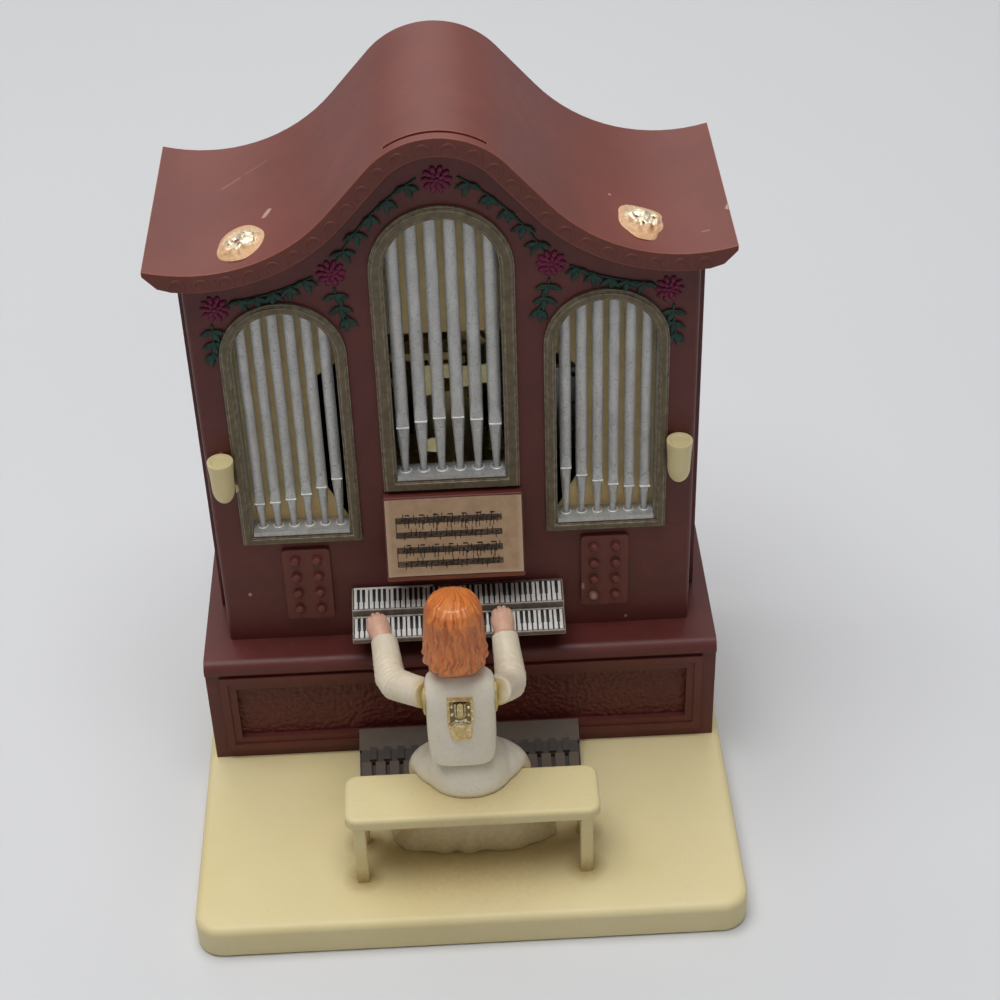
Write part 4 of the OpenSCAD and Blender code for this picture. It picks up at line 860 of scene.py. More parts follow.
# %% Pebbled panel of the console
PANEL_FLOOR = 1.6 * MM
console = bpy.data.objects["console_dressed"]
console.data.materials.append(PEBBLED)
console_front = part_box("console")[0].y
pebbled = [face for face in console.data.polygons
           if face.normal.y < -0.9 and abs(face.center.y - console_front - PANEL_FLOOR) < 0.1 * MM]
for face in pebbled:
    face.material_index = 1
print("pebbled faces:", len(pebbled))

# %% [markdown]
# ## Mouths of the pipes
#
# Above its mouth each pipe has a flattened lip with an arched top, and a bright line as a painted highlight.
# One lip is a flattened sphere cut off below by bisect. A flat collar marks where each foot stands on its
# shelf. The patterns are copied to the pipes' own places.

# %% Lips, lines and collars
SHELF_TOP = 1.9 * MM
MOUTH_RISE = 5.5 * MM
LIP_RISE = 0.3 * MM
LIP_OUT = 0.74
facade_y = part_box("garland_flowers")[1].y
PIPES = 6
PIPE_AXIS = 1.3
CENTRE_PITCH = 3.32
RANKS = {"pipes_left": (2.9, 1.05, 2.9, [0.2 * i * i for i in range(PIPES)]),
         "pipes_right": (2.9, 1.05, 2.9, [0.2 * i * i for i in reversed(range(PIPES))]),
         "pipes_centre": (CENTRE_PITCH, 1.2, 4.6, [6.3 - 0.3 * (i - 2.5) ** 2 for i in range(PIPES)])}


fresh()
bpy.ops.mesh.primitive_uv_sphere_add(segments=20, ring_count=16, radius=1)
lip = added("lip", (0.96, 0.30, 1))
whole(lip)
bpy.ops.mesh.bisect(plane_co=(0, 0, 0.02), plane_no=(0, 0, 1), use_fill=True, clear_inner=True)
done()
# The bright mouth line, like the collars' brightness, is a painted highlight.
fresh()
bpy.ops.mesh.primitive_cube_add(size=1)
line = added("line", (1.85, 0.84, 0.24))
pick(line, "EDGE", lambda at, along: abs(along.x) > 0.9)
bpy.ops.mesh.bevel(offset=0.05, segments=2)
done()
fresh()
bpy.ops.mesh.primitive_torus_add(major_segments=20, minor_segments=8, major_radius=0.85, minor_radius=0.13)
collar = added("collar", (1, 1, 0.8))
lips, glints = [], []
for node, (pitch, radius, tall, mouths) in RANKS.items():
    low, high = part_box(node)
    for i, rise in enumerate(mouths):
        x = (low.x + high.x) / 2 + (i - 2.5) * pitch * MM
        front = facade_y + (PIPE_AXIS - LIP_OUT * radius) * MM
        shelf = low.z + SHELF_TOP
        mouth = move_by(x, front, shelf + MOUTH_RISE + rise * MM + LIP_RISE)
        foot = move_by(x, facade_y + PIPE_AXIS * MM, shelf)
        high_size, low_size = (scale_by(radius * MM, radius * MM, h * MM) for h in (tall, 1))
        lips.append(placed(copied(lip, "lip"), mouth @ high_size))
        glints.append(placed(copied(line, "line"), mouth @ low_size))
        glints.append(placed(copied(collar, "collar"), foot @ low_size))
for pattern in (lip, line, collar):
    bpy.data.objects.remove(pattern)
fit(smooth(joined("pipe_lips", lips), 50), "case", "silver_plastic", SILVER)
fit(smooth(joined("pipe_glints", glints), 50), "case", "silver_plastic", SILVER_HIGHLIGHT)
print("pipe mouths:", len(lips))

# %% [markdown]
# ### Torn card
#
# The card behind the middle pipes is torn, and pale scraps of it show in the gaps. Each scrap is a grid that
# noise crumples a little before it is given a thickness.

# %% Scraps of torn card behind the middle pipes
SCRAP_W, SCRAP_T, SCRAP_DEPTH = 2.2 * MM, 0.2 * MM, 2.1 * MM
CRUMPLE = Vector((0, 0.12, 0.2)) * MM
SCRAPS = ((-1, 89.2, 6.2), (0, 91.0, 2.8), (1, 89.8, 4.3), (2, 90.2, 3.9), (-1, 75.0, 2.9))
scraps = []
for gap, z, tall in SCRAPS:
    fresh()
    bpy.ops.mesh.primitive_grid_add(x_subdivisions=6, y_subdivisions=8, size=1)
    scrap = added("scrap", (SCRAP_W, tall * MM, 1), (math.pi / 2, 0, 0))
    for point in scrap.data.vertices:
        point.co += CRUMPLE * noise.noise(point.co * 700 + Vector((gap, z, 0)))
    apply(scrap, "SOLIDIFY", thickness=SCRAP_T, offset=0)
    scraps.append(placed(scrap, move_by(gap * CENTRE_PITCH * MM, facade_y + SCRAP_DEPTH, z * MM)))
fit(smooth(joined("card_scraps", scraps)), "case", "gold_card", PALE_CARD)
print("scraps of card:", len(scraps))

# %% [markdown]
# ## Scallops along the roof's edge
#
# The front edge of the roof carries a row of small raised arches. One arch is half a ring: a torus is cut
# through with bisect and flattened. Copies then follow the roof's line, which is two arcs and the straight
# that touches both, so each copy is turned to the slope where it sits.

# %% The roof's line
CREST_R = 15.2 * MM
VALLEY_R = 30.7 * MM
VALLEY_X = 41.5 * MM
CREST_RISE = 23.6 * MM
ARC_STEPS = 24
roof_low, roof_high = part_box("roof")
crest_z = roof_high.z
valley_z = crest_z - CREST_RISE
crest_c = Vector((0, crest_z - CREST_R))
valley_c = Vector((VALLEY_X, valley_z + VALLEY_R))
span = valley_c - crest_c
lean = math.asin((CREST_R + VALLEY_R) / span.length) - math.atan2(span.y, span.x)


def arc_points(middle, radius, first, last):
    turns = [first + (last - first) * i / ARC_STEPS for i in range(ARC_STEPS + 1)]
    return [middle + radius * Vector((math.cos(t), math.sin(t))) for t in turns]


def roof_line(sink):
    """Points of the right half of the roof's line, sunk by a depth, as x and z."""
    up, down = math.pi / 2, 1.5 * math.pi
    last = down + math.asin((roof_high.x - VALLEY_X) / (VALLEY_R + sink))
    return (arc_points(crest_c, CREST_R - sink, up, up - lean)
            + arc_points(valley_c, VALLEY_R + sink, down - lean, last))


def steps_along(points, pitch, start):
    """Places at an even pitch along a line of points, each with the slope there."""
    places, ahead = [], start
    for a, b in zip(points, points[1:]):
        length = (b - a).length
        while ahead <= length:
            places.append((a + (b - a) * (ahead / length), math.atan2(b.y - a.y, b.x - a.x)))
            ahead += pitch
        ahead -= length
    return places


print("roof line:", len(roof_line(0)), "points")

# %% One scallop, then the row
SCALLOP_PITCH = 4.2 * MM
SCALLOP_SINK = 2.45 * MM
SCALLOP_R, SCALLOP_T = 1.35 * MM, 0.3 * MM
SCALLOP_END = 5.5 * MM

fresh()
bpy.ops.mesh.primitive_torus_add(major_segments=20, minor_segments=8, major_radius=SCALLOP_R,
                                 minor_radius=SCALLOP_T)
scallop = added("roof_scallop", (1, 1, 0.75), (math.pi / 2, 0, 0))
whole(scallop)
bpy.ops.mesh.bisect(plane_co=(0, 0, -0.25 * MM), plane_no=(0, 0, 1), use_fill=True, clear_inner=True)
done()
scallops = []
for at, slope in steps_along(roof_line(SCALLOP_SINK), SCALLOP_PITCH, SCALLOP_PITCH / 2):
    if at.x > roof_high.x - SCALLOP_END:
        break
    for side in (-1, 1):
        turn = Matrix.Rotation(-side * slope, 4, "Y")
        shift = move_by(side * at.x, roof_low.y + 0.05 * MM, at.y)
        scallops.append(placed(copied(scallop, "scallop"), shift @ turn))
bpy.data.objects.remove(scallop)
row = smooth(joined("roof_scallops", scallops), 50)
fit(row, "case", "brown_plastic", FASCIA)
print("scallops:", len(scallops), "faces:", len(row.data.polygons))

# %% [markdown]
# ## What is left of the roof ornaments
#
# Two ornaments were once glued to the roof and have broken off. A scab of tan glue is left at each place,
# with a bright ragged middle where the plating tore. A flattened sphere takes the scab's outline as seen
# from above, is roughened where it broke, and is set on the roof's own surface, which a ray finds.

# %% Helpers for soft shapes


def shaped(piece, move):
    """Move each point of a mesh to where a function says, as soft modelling with the hand would."""
    for point in piece.data.vertices:
        point.co = move(point.co.copy())
    piece.data.update()
    return piece


def pressed(piece, depth):
    """Push the surface out along its normals by what a function says at each point."""
    pushes = [point.normal * depth(point.co) for point in piece.data.vertices]
    for point, push in zip(piece.data.vertices, pushes):
        point.co += push
    piece.data.update()
    return piece


def ray_on(piece, at, way):
    """The place and the normal where a ray meets a piece."""
    bpy.context.view_layer.update()
    _, place, normal, _ = bpy.data.objects[piece].ray_cast(Vector(at), Vector(way))
    return place, normal


print("soft shape helpers ready")

# %% Remains on the roof


def scab(outline):
    """Shape a unit ball to an outline of (degrees, millimetres) pairs, cracked in its middle."""
    turns = [(math.radians(turn), reach * MM) for turn, reach in outline]
    (low, first), (high, last) = turns[0], turns[-1]
    turns = [(high - 2 * math.pi, last)] + turns + [(low + 2 * math.pi, first)]

    def move(at):
        turn = math.atan2(at.y, at.x)
        reach = turns[0][1]
        for (a, first), (b, last) in zip(turns, turns[1:]):
            if a <= turn <= b:
                share = (turn - a) / (b - a)
                reach = first + (last - first) * share * share * (3 - 2 * share)
        near = max(0.0, 1 - at.xy.length / 0.85)
        crack = (noise.noise(at * 3.4) + noise.noise(at * 8) * 0.5) * min(1.0, 2.5 * near)
        return Vector((at.x * reach, at.y * reach, (at.z * 0.5 + (crack if at.z > 0 else 0)) * MM))

    return move


ORNAMENTS = [((-33.5, 8.8), ((-120, 4.5), (-83, 4.6), (-45, 4.0), (47, 5.2), (92, 6.7), (170, 4.5))),
             ((34.7, 11.0), ((-137, 4.6), (-102, 5.6), (-81, 5.6), (-45, 3.6), (25, 4.1), (44, 5.5),
                             (84, 5.3), (119, 5.8), (169, 4.4)))]
remains, ornament_places = [], []
for (x, y), outline in ORNAMENTS:
    place, normal = ray_on("roof_dressed", (x * MM, y * MM, 0.2), (0, 0, -1))
    ornament_places.append(place + Vector((0, 1.6 * MM, 0)))
    fresh()
    bpy.ops.mesh.primitive_uv_sphere_add(segments=64, ring_count=40, radius=1)
    blob = shaped(added("remains"), scab(outline))
    turn = Vector((0, 0, 1)).rotation_difference(normal).to_matrix().to_4x4()
    remains.append(placed(blob, Matrix.Translation(place + 0.1 * MM * normal) @ turn))


def broken_plating():
    finish = Finish("broken_plating")
    shards = finish.noise(0.7 * MM, 4)
    core = sum(finish.near(place, 5.6 * MM) for place in ornament_places)
    bright = (core * (0.4 + shards * 1.4)).ramp(0.35, 0.75)
    colour = finish.mix(shards.ramp(0.3, 0.7), (0.56, 0.31, 0.15), (0.68, 0.43, 0.24))
    colour = finish.mix(bright, colour, (0.80, 0.70, 0.52))
    colour = finish.mix(bright * finish.noise(1.4 * MM, 3).ramp(0.58, 0.66), colour, (0.16, 0.10, 0.04))
    return finish.paint(colour=colour, metallic=bright * 0.8, roughness=0.28 + shards * 0.2,
                        normal=finish.bump(shards, 0.6, 0.3 * MM))


fit(smooth(joined("ornament_remains", remains), 60), "case", "gold_card", broken_plating())
print("remains at", [[round(v / MM, 1) for v in place] for place in ornament_places])

# %% [markdown]
# ## The painted garland
#
# Flowers and sprigs stand in low relief on the facade under the roof. A flower is a raspberry of small
# round petals: one petal is a flattened sphere, copied in an outer ring, an inner ring and a middle bead. A
# leaf is a sphere drawn out to a point at both ends; tufts of three hang from bowed stems.

# %% Petal, leaf and stem
PETAL_SIZE = (1.2 * MM, 0.62 * MM, 0.68 * MM)
LEAF_SIZE = (1.7 * MM, 0.3 * MM, 0.56 * MM)
LEAF_TAPER = 1.75 * MM
STEM_R = 0.22 * MM
RINGS = ((10, 1.75, 0.78, 0.02), (7, 0.95, 0.62, 0.26), (1, 0.0, 0.55, 0.42))


def ball(name, size, segments=12, rings=8):
    fresh()
    bpy.ops.mesh.primitive_uv_sphere_add(segments=segments, ring_count=rings, radius=1)
    return added(name, size)


def to_point(at):
    u = min(1.0, abs(at.x) / LEAF_TAPER)
    return Vector((at.x, at.y * (1 - 0.6 * u), at.z * (1 - u ** 1.6) - 0.12 * MM * u * u))


def flower_at(x, z):
    """Rings of petals, each with its count, radius, petal size and lift."""
    petals = []
    for count, out, size, lift in RINGS:
        for i in range(count):
            turn = Matrix.Rotation(2 * math.pi * (i + 0.5 * (count == 7)) / count, 4, "Y")
            shift = move_by(out * MM, -lift * MM, 0)
            grow = scale_by(size, size, size)
            petals.append(placed(copied(petal, "petal"), turn @ shift @ grow))
    return placed(joined("flower", petals), move_by(x, facade_y, z))


petal = ball("petal", PETAL_SIZE, 10, 7)
leaf = shaped(ball("leaf", LEAF_SIZE, 8, 10), to_point)
fresh()
bpy.ops.mesh.primitive_cylinder_add(vertices=8, radius=STEM_R, depth=1)
stem = added("stem", (1, 1, 1), (0, math.pi / 2, 0))
print("petal", len(petal.data.polygons), "leaf", len(leaf.data.polygons), "faces")

# %% Garland from its parts
TOP_FLOWER = Vector((0, crest_z - 9.2 * MM))
MID_FLOWER = Vector((18.6 * MM, valley_z - 2.6 * MM))
END_FLOWER = Vector((38.9 * MM, valley_z - 8.7 * MM))
TUFT = ((212, 0.9), (262, 1.0), (322, 0.95))


def bowed(first, last, bow, steps):
    across = Vector((first.y - last.y, last.x - first.x)).normalized()
    return [first + (last - first) * t + across * bow * 4 * t * (1 - t)
            for t in (i / steps for i in range(steps + 1))]


def sprig(points, side):
    """Stem pieces through the points, with a tuft of hanging leaves at each."""
    made = []
    for i, (a, b) in enumerate(zip(points, points[1:])):
        slope = math.atan2(b.y - a.y, b.x - a.x)
        middle = (a + b) / 2
        spot = scale_by(side, 1, 1) @ move_by(middle.x, facade_y - 0.15 * MM, middle.y)
        along = Matrix.Rotation(-slope, 4, "Y")
        made.append(placed(copied(stem, "stem"), spot @ along @ scale_by((b - a).length, 1, 1)))
        for angle, size in TUFT:
            tilt = Matrix.Rotation(-math.radians(angle + 16 * math.sin(5 * i + angle)), 4, "Y")
            reach = move_by(1.25 * MM * size, -0.18 * MM, 0) @ scale_by(size, 1, size)
            made.append(placed(copied(leaf, "leaf"), spot @ tilt @ reach))
    return made


SPRIGS = [bowed(MID_FLOWER + Vector((-1.2, 2.4)) * MM, TOP_FLOWER + Vector((3.4, 0.3)) * MM, -1.4 * MM, 5),
          bowed(END_FLOWER + Vector((-3.0, 1.3)) * MM, MID_FLOWER + Vector((3.2, -0.6)) * MM, 0.7 * MM, 5),
          bowed(MID_FLOWER + Vector((-0.3, -3.0)) * MM, MID_FLOWER + Vector((-2.8, -10.2)) * MM, 0.5 * MM, 3),
          bowed(END_FLOWER + Vector((0.8, -3.2)) * MM, END_FLOWER + Vector((1.6, -10.2)) * MM, -0.4 * MM, 3)]
flowers = [flower_at(*TOP_FLOWER)]
flowers += [flower_at(side * at.x, at.y) for side in (-1, 1) for at in (MID_FLOWER, END_FLOWER)]
leaves = [bit for side in (-1, 1) for points in SPRIGS for bit in sprig(points, side)]
for pattern in (petal, leaf, stem):
    bpy.data.objects.remove(pattern)
garland = smooth(joined("garland_blossom", flowers), 70)
fit(garland, "case", "flower_paint", FLOWER, "garland_flowers")
greens = joined("garland_greens", leaves)
whole(greens)
bpy.ops.mesh.normals_make_consistent(inside=False)
done()
fit(smooth(greens, 70), "case", "leaf_paint", LEAF, "garland_leaves")
print("garland:", len(garland.data.polygons), "+", len(greens.data.polygons), "faces")

# %% [markdown]
# ## The two manuals
#
# White keys lie side by side with a hair of space between them, and short black keys lie on their rear part
# in the usual groups of two and three. One key of each colour is a box with its upper edges rounded; the
# rest are copies. A short strip of bare white shows behind the upper row, on the left.

# %% Keys
KEY_SLOPE = math.radians(15)
KEY_T = 0.3 * MM
KEY_GAP = 0.29 * MM
KEY_ROUNDING = 0.06 * MM
BED_T = 0.1 * MM
BLACK_W, BLACK_L, BLACK_BACK = 0.6, 0.64, 0.67
WHITE_KEYS = 40
BLACK_AFTER = (1, 1, 0, 1, 1, 1, 0)


def key_shape(name, size, rounding):
    fresh()
    bpy.ops.mesh.primitive_cube_add(size=1)
    key = added(name, size)
    pick(key, "EDGE", lambda at, along: at.z > 0.1 * size[2])
    bpy.ops.mesh.bevel(offset=rounding, segments=2)
    done()
    return key


def manual(node):
    low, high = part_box(node)
    pitch = (high.x - low.x) / WHITE_KEYS
    depth = (high.y - low.y - KEY_T * math.sin(KEY_SLOPE)) / math.cos(KEY_SLOPE)
    front = Vector((low.x, low.y, low.z + KEY_T * math.cos(KEY_SLOPE)))
    slab = Matrix.Translation(front) @ Matrix.Rotation(KEY_SLOPE, 4, "X")
    white = key_shape("white_key", (pitch - KEY_GAP, depth, KEY_T), KEY_ROUNDING)
    black = key_shape("black_key", (pitch * BLACK_W, depth * BLACK_L, KEY_T), KEY_ROUNDING)
    bed = key_shape("key_bed", (high.x - low.x, depth, BED_T), BED_T / 5)
    blacks = [placed(bed, slab @ move_by((high.x - low.x) / 2, depth / 2, BED_T / 2 - KEY_T))]
    whites = []
    for i in range(WHITE_KEYS):
        to = move_by((i + 0.5) * pitch, depth / 2, -KEY_T / 2)
        whites.append(placed(copied(white, "key"), slab @ to))
        if BLACK_AFTER[i % 7] and i < WHITE_KEYS - 1:
            to = move_by((i + 1) * pitch, depth * BLACK_BACK, 0)
            blacks.append(placed(copied(black, "key"), slab @ to))
    bpy.data.objects.remove(white)
    bpy.data.objects.remove(black)
    fit(smooth(joined(node + "_whites", whites)), "case", "key_print", KEY_WHITE, node)
    fit(smooth(joined(node + "_blacks", blacks)), "case", "pedal_plastic", KEY_BLACK)
    return len(whites), len(blacks)


print("keys:", manual("manual_upper"), manual("manual_lower"))

# %% Bare white rim behind the upper manual
RIM_SIZE = (15 * MM, 0.55 * MM, 0.3 * MM)
RIM_MIDDLE = Vector((7.6, 0.2, -0.05)) * MM
key_low, key_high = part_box("manual_upper")
rim = key_shape("manual_rim", RIM_SIZE, 0.1 * MM)
placed(rim, Matrix.Translation(Vector((key_low.x, key_high.y, key_high.z)) + RIM_MIDDLE))
fit(smooth(rim), "case", "key_print", KEY_WHITE)
print("rim", len(rim.data.polygons), "faces")

# %% [markdown]
# ## The music sheet
#
# A small printed sheet leans on the desk. The paper is a fine grid, curled a little at its corners and given
# a thickness. The print is four staves in two braced pairs with simple notes of our own, laid out as thin
# boxes and flattened beads a hair above the paper.

# %% Paper
PAPER_LEAN = math.atan2(4.4, 15.2)
PAPER_T = 0.25 * MM
sheet_w = paper_high.x - paper_low.x
sheet_h = (paper_high.z - paper_low.z - PAPER_T * math.sin(PAPER_LEAN)) / math.cos(PAPER_LEAN)
sheet_foot = Vector((0, paper_low.y, paper_low.z + PAPER_T * math.sin(PAPER_LEAN)))
on_sheet = Matrix.Translation(sheet_foot) @ Matrix.Rotation(math.pi / 2 - PAPER_LEAN, 4, "X")


def curl(at):
    corner = (abs(at.x) / (sheet_w / 2)) ** 4 * abs(2 * at.y / sheet_h - 1) ** 4
    return Vector((at.x, at.y, at.z + 0.22 * MM * corner + 0.05 * MM * noise.noise(at * 250)))


fresh()
bpy.ops.mesh.primitive_grid_add(x_subdivisions=36, y_subdivisions=24, size=1)
sheet = added("music_sheet", (sheet_w, sheet_h, 1))
shaped(placed(sheet, move_by(0, sheet_h / 2, 0)), curl)
apply(sheet, "SOLIDIFY", thickness=0.2 * MM, offset=-1)
placed(sheet, on_sheet)
fit(smooth(sheet), "case", "paper", PAPER, "sheet_music")
print("sheet", round(sheet_w / MM, 1), "x", round(sheet_h / MM, 1), "mm")

# %% Print on the paper
STAVES = (0.73, 0.54, 0.34, 0.16)
STAVE_GAP = 0.25 * MM
STAVE_X = (-0.42 * sheet_w, 0.35 * sheet_w)
STAVE_W = STAVE_X[1] - STAVE_X[0]
NOTES = (28, 19)
INK_LIFT, INK_T = 0.04 * MM, 0.05 * MM

fresh()
bpy.ops.mesh.primitive_cube_add(size=1)
bar = added("bar")
pick(bar, "EDGE", lambda at, along: abs(along.z) > 0.9)
bpy.ops.mesh.bevel(offset=0.1, segments=1)
done()
bead = ball("bead", (0.28 * MM, 0.22 * MM, 0.07 * MM), 8, 5)
print_bits = []


def stroke(x, y, w, h):
    size = scale_by(w, h, INK_T)
    print_bits.append(placed(copied(bar, "stroke"), move_by(x, y, INK_LIFT) @ size))


def note(x, y, up):
    print_bits.append(placed(copied(bead, "note"), move_by(x, y, INK_LIFT)))
    stroke(x + up * 0.16 * MM, y + up * 0.65 * MM, 0.15 * MM, 1.3 * MM)


middle = (STAVE_X[0] + STAVE_X[1]) / 2
for row_index, share in enumerate(STAVES):
    foot = share * sheet_h
    for line in range(5):
        stroke(middle, foot + (line - 2) * STAVE_GAP, STAVE_W, 0.14 * MM)
    notes = NOTES[row_index % 2]
    for i in range(notes):
        x = STAVE_X[0] + STAVE_W * (i + 1.6) / (notes + 1.6)
        step = round(2.4 * math.sin(1.7 * i + 2.3 * row_index) + 1.4 * math.sin(0.6 * i))
        note(x, foot + step * STAVE_GAP / 2, 1 if step < 1 else -1)
        if row_index % 2 == 0 and i % 4 in (1, 2):
            note(x, foot + (step - 3) * STAVE_GAP / 2, -1)
        if row_index % 2 == 0 and i % 4 == 1:
            stroke(x + 0.3 * MM, foot + 1.0 * MM, 0.85 * MM, 0.24 * MM)
    for i in range(5):
        x = STAVE_X[0] + STAVE_W * i / 4
        stroke(x, foot, 0.09 * MM, 4 * STAVE_GAP)
for top, low in ((0, 1), (2, 3)):
    y = (STAVES[top] + STAVES[low]) / 2 * sheet_h
    stroke(STAVE_X[0] - 0.12 * MM, y, 0.12 * MM, (STAVES[top] - STAVES[low]) * sheet_h + 5 * STAVE_GAP)
bpy.data.objects.remove(bar)
bpy.data.objects.remove(bead)
print_piece = placed(joined("sheet_print", print_bits), on_sheet)
fit(smooth(print_piece), "case", "pedal_plastic", INK)
print("print:", len(print_bits), "strokes and notes,", len(print_piece.data.polygons), "faces")

# %% [markdown]
# ## The organist
#
# The figure is a small doll. Each part starts from its solid: a voxel remesh turns it into an even fine
# skin, a smooth pass takes the facets off, and the surface is then pressed: folds across the elbows, locks
# in the hair, flutes in the skirt, fingers on the hands. The photograph doesn't show the face, so it is a
# plain calm one.

# %% Even skin over a solid


def skinned(node, name, voxel=0.3, passes=6):
    piece = solid_copy(node, name)
    apply(piece, "REMESH", mode="VOXEL", voxel_size=voxel * MM)
    apply(piece, "SMOOTH", factor=0.5, iterations=passes)
    return piece


def worn_by(piece, node, material):
    return fit(smooth(piece, 60), body_of[node], slot_of[node], material, node)


post_low, post_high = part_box("organist_post")
waist = Vector((0, (post_low.y + post_high.y) / 2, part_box("torso")[0].z))
worn_by(skinned("torso", "gown_back"), "torso", GOWN)
worn_by(skinned("lap", "gown_lap", 0.4), "lap", SEAT)
print("torso and lap dressed")

# %% Skirt with flutes
skirt_middle = (skirt_low + skirt_high) / 2


def flutes(at):
    turn = math.atan2(at.y - skirt_middle.y, at.x - skirt_middle.x)
    low = 1 - (at.z - skirt_low.z) / (skirt_high.z - skirt_low.z)
    return 0.3 * MM * low * math.sin(11 * turn + 1.3 * math.sin(3 * turn))


worn_by(pressed(skinned("skirt", "gown_skirt", 0.4), flutes), "skirt", HEM)
print("skirt fluted")

# %% Sleeves and hands
ARMS = {"left": (Vector((-6.2, -0.6, 16)), Vector((-12.7, 7, 12.1)), Vector((-13.7, 15.2, 13.9)),
                 Vector((-15, 20.2, 14.4))),
        "right": (Vector((6.2, -0.6, 16)), Vector((9.1, 7.3, 10.4)), Vector((8.4, 15, 13.8)),
                  Vector((8.1, 20.4, 14.4)))}


def folds(joints):
    shoulder, elbow, wrist = (waist + joint * MM for joint in joints[:3])
    along = (wrist - shoulder).normalized()

    def depth(at):
        fade = max(0.0, 1 - (at - elbow).length / (7.0 * MM))
        run = (at - shoulder).dot(along) / MM + 0.7 * noise.noise(at * 300)
        return MM * (0.20 * fade * math.sin(5.6 * run) - 0.08 * abs(noise.noise(at * 420)))

    return depth


def fingers(joints):
    wrist, hand = (waist + joint * MM for joint in joints[2:])
    ahead = (hand - wrist).normalized()

    def depth(at):
        reach = (at - hand).dot(ahead) / MM
        across = (at - hand).cross(ahead).z / MM
        front = min(1.0, max(0.0, (reach + 0.6) / 1.6))
        return -0.34 * MM * front * (0.5 + 0.5 * math.cos(2 * math.pi * across / 1.05)) ** 3

    return depth


for side, joints in ARMS.items():
    sleeve = skinned("arm_" + side, "sleeve_" + side, 0.22)
    worn_by(pressed(sleeve, folds(joints)), "arm_" + side, SLEEVE)
    hand = skinned("hand_" + side, "fingers_" + side, 0.16, 3)
    worn_by(pressed(hand, fingers(joints)), "hand_" + side, SKIN)
print("sleeves and hands:", list(ARMS))

# %% Hair
hair_h = hair_high.z - hair_low.z


def locks(at):
    """Long strands from the parting, two rows of curls at the ends, a notch in the middle of the hem."""
    turn = math.atan2(at.x - parting.x, parting.y - at.y)
    low = (crown.z - at.z) / hair_h
    wander = noise.noise(Vector((1.6 * turn, 0, 2.2 * low)))
    strand = abs(math.sin(13 * turn + 2.2 * wander + 0.8 * math.sin(4 * low)))
    fine = abs(math.sin(37 * turn + 5 * wander))
    ends = min(1.0, max(0.0, (low - 0.58) / 0.2))
    lower_row = 0.5 + 0.5 * math.tanh(14 * (low - 0.8))
    curl = abs(math.sin(11 * turn + 1.2 * wander + 0.5 * math.pi * lower_row)) ** 0.7
    bulge = math.sin(math.pi * min(1.0, max(0.0, (low - 0.58) / 0.42)) * 2) ** 2
    notch = 0.8 * math.exp(-(turn / 0.14) ** 2 - ((low - 1) / 0.07) ** 2)
    straight = min(1.0, 9 * low) * (1 - 0.6 * ends) * (0.46 * strand + 0.08 * fine - 0.4)
    return MM * (straight + ends * 0.8 * bulge * (curl - 0.6) - notch)


worn_by(pressed(skinned("hair", "hair_bob", 0.18, 3), locks), "hair", HAIR)
print("hair", round(hair_h / MM, 1), "mm tall")

# %% Face
face = skinned("head", "doll_face", 0.2, 6)
head_low, head_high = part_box("head")
face_x = (head_low.x + head_high.x) / 2
eye_z = head_low.z + 0.56 * (head_high.z - head_low.z)


def features(at):
    if at.y < waist.y + 3.5 * MM:
        return 0.0
    x, z = (at.x - face_x) / MM, (at.z - eye_z) / MM
    nose = 0.75 * math.exp(-(x / 0.62) ** 2 - ((z + 1.7) / 0.9) ** 2)
    sockets = -0.28 * sum(math.exp(-((x - s * 1.75) / 0.95) ** 2 - (z / 0.6) ** 2) for s in (-1, 1))
    cheeks = 0.22 * sum(math.exp(-((x - s * 2.4) / 1.3) ** 2 - ((z + 2.3) / 1.2) ** 2) for s in (-1, 1))
    chin = 0.30 * math.exp(-(x / 1.4) ** 2 - ((z + 5.2) / 0.9) ** 2)
    return MM * (nose + sockets + cheeks + chin)


worn_by(pressed(face, features), "head", SKIN)


def on_face(name, x, z, size):
    place, _ = ray_on("doll_face", (face_x + x * MM, 0.05, eye_z + z * MM), (0, -1, 0))
    return placed(ball(name, [v * MM for v in size]), Matrix.Translation(place))


eyes = [on_face("eye", s * 1.75, 0, (0.55, 0.2, 0.34)) for s in (-1, 1)]
brows = [on_face("brow", s * 1.8, 1.15, (0.8, 0.16, 0.14)) for s in (-1, 1)]
fit(smooth(joined("doll_eyes", eyes), 60), "organist", "pedal_plastic", PEDAL)
fit(smooth(joined("doll_brows", brows), 60), "organist", "hair_plastic", HAIR)
mouth = [on_face("lip", 0, z, (wide, 0.2, 0.2)) for z, wide in ((-3.3, 0.85), (-3.6, 0.75))]
fit(smooth(joined("doll_lips", mouth), 60), "organist", "flower_paint", FLOWER)
print("face at", [round(v / MM, 1) for v in (face_x, eye_z)])

# %% [markdown]
# ## Where the wings sat
#
# On the gown's back is the socket of a lost ornament, probably wings: a gilt frame with a sunk floor, a
# raised U inside it and a tongue of gilt glue below. The frame is a box whose face is inset and pushed in,
# and the U is half a torus with its open ends pulled up. Bright chips lie where the plating broke.

# %% Gilt socket on the back
SOCKET = Vector((-0.4, 0, 44.8)) * MM
SOCKET_W, SOCKET_T, SOCKET_H = 4.6 * MM, 1.2 * MM, 6.3 * MM
SOCKET_RIM, SOCKET_DEPTH = 0.5 * MM, 0.45 * MM
RIDGE_R, RIDGE_T, RIDGE_RISE = 0.85 * MM, 0.26 * MM, 2.6 * MM
back_at, _ = ray_on("gown_back", (SOCKET.x, -0.05, SOCKET.z), (0, 1, 0))


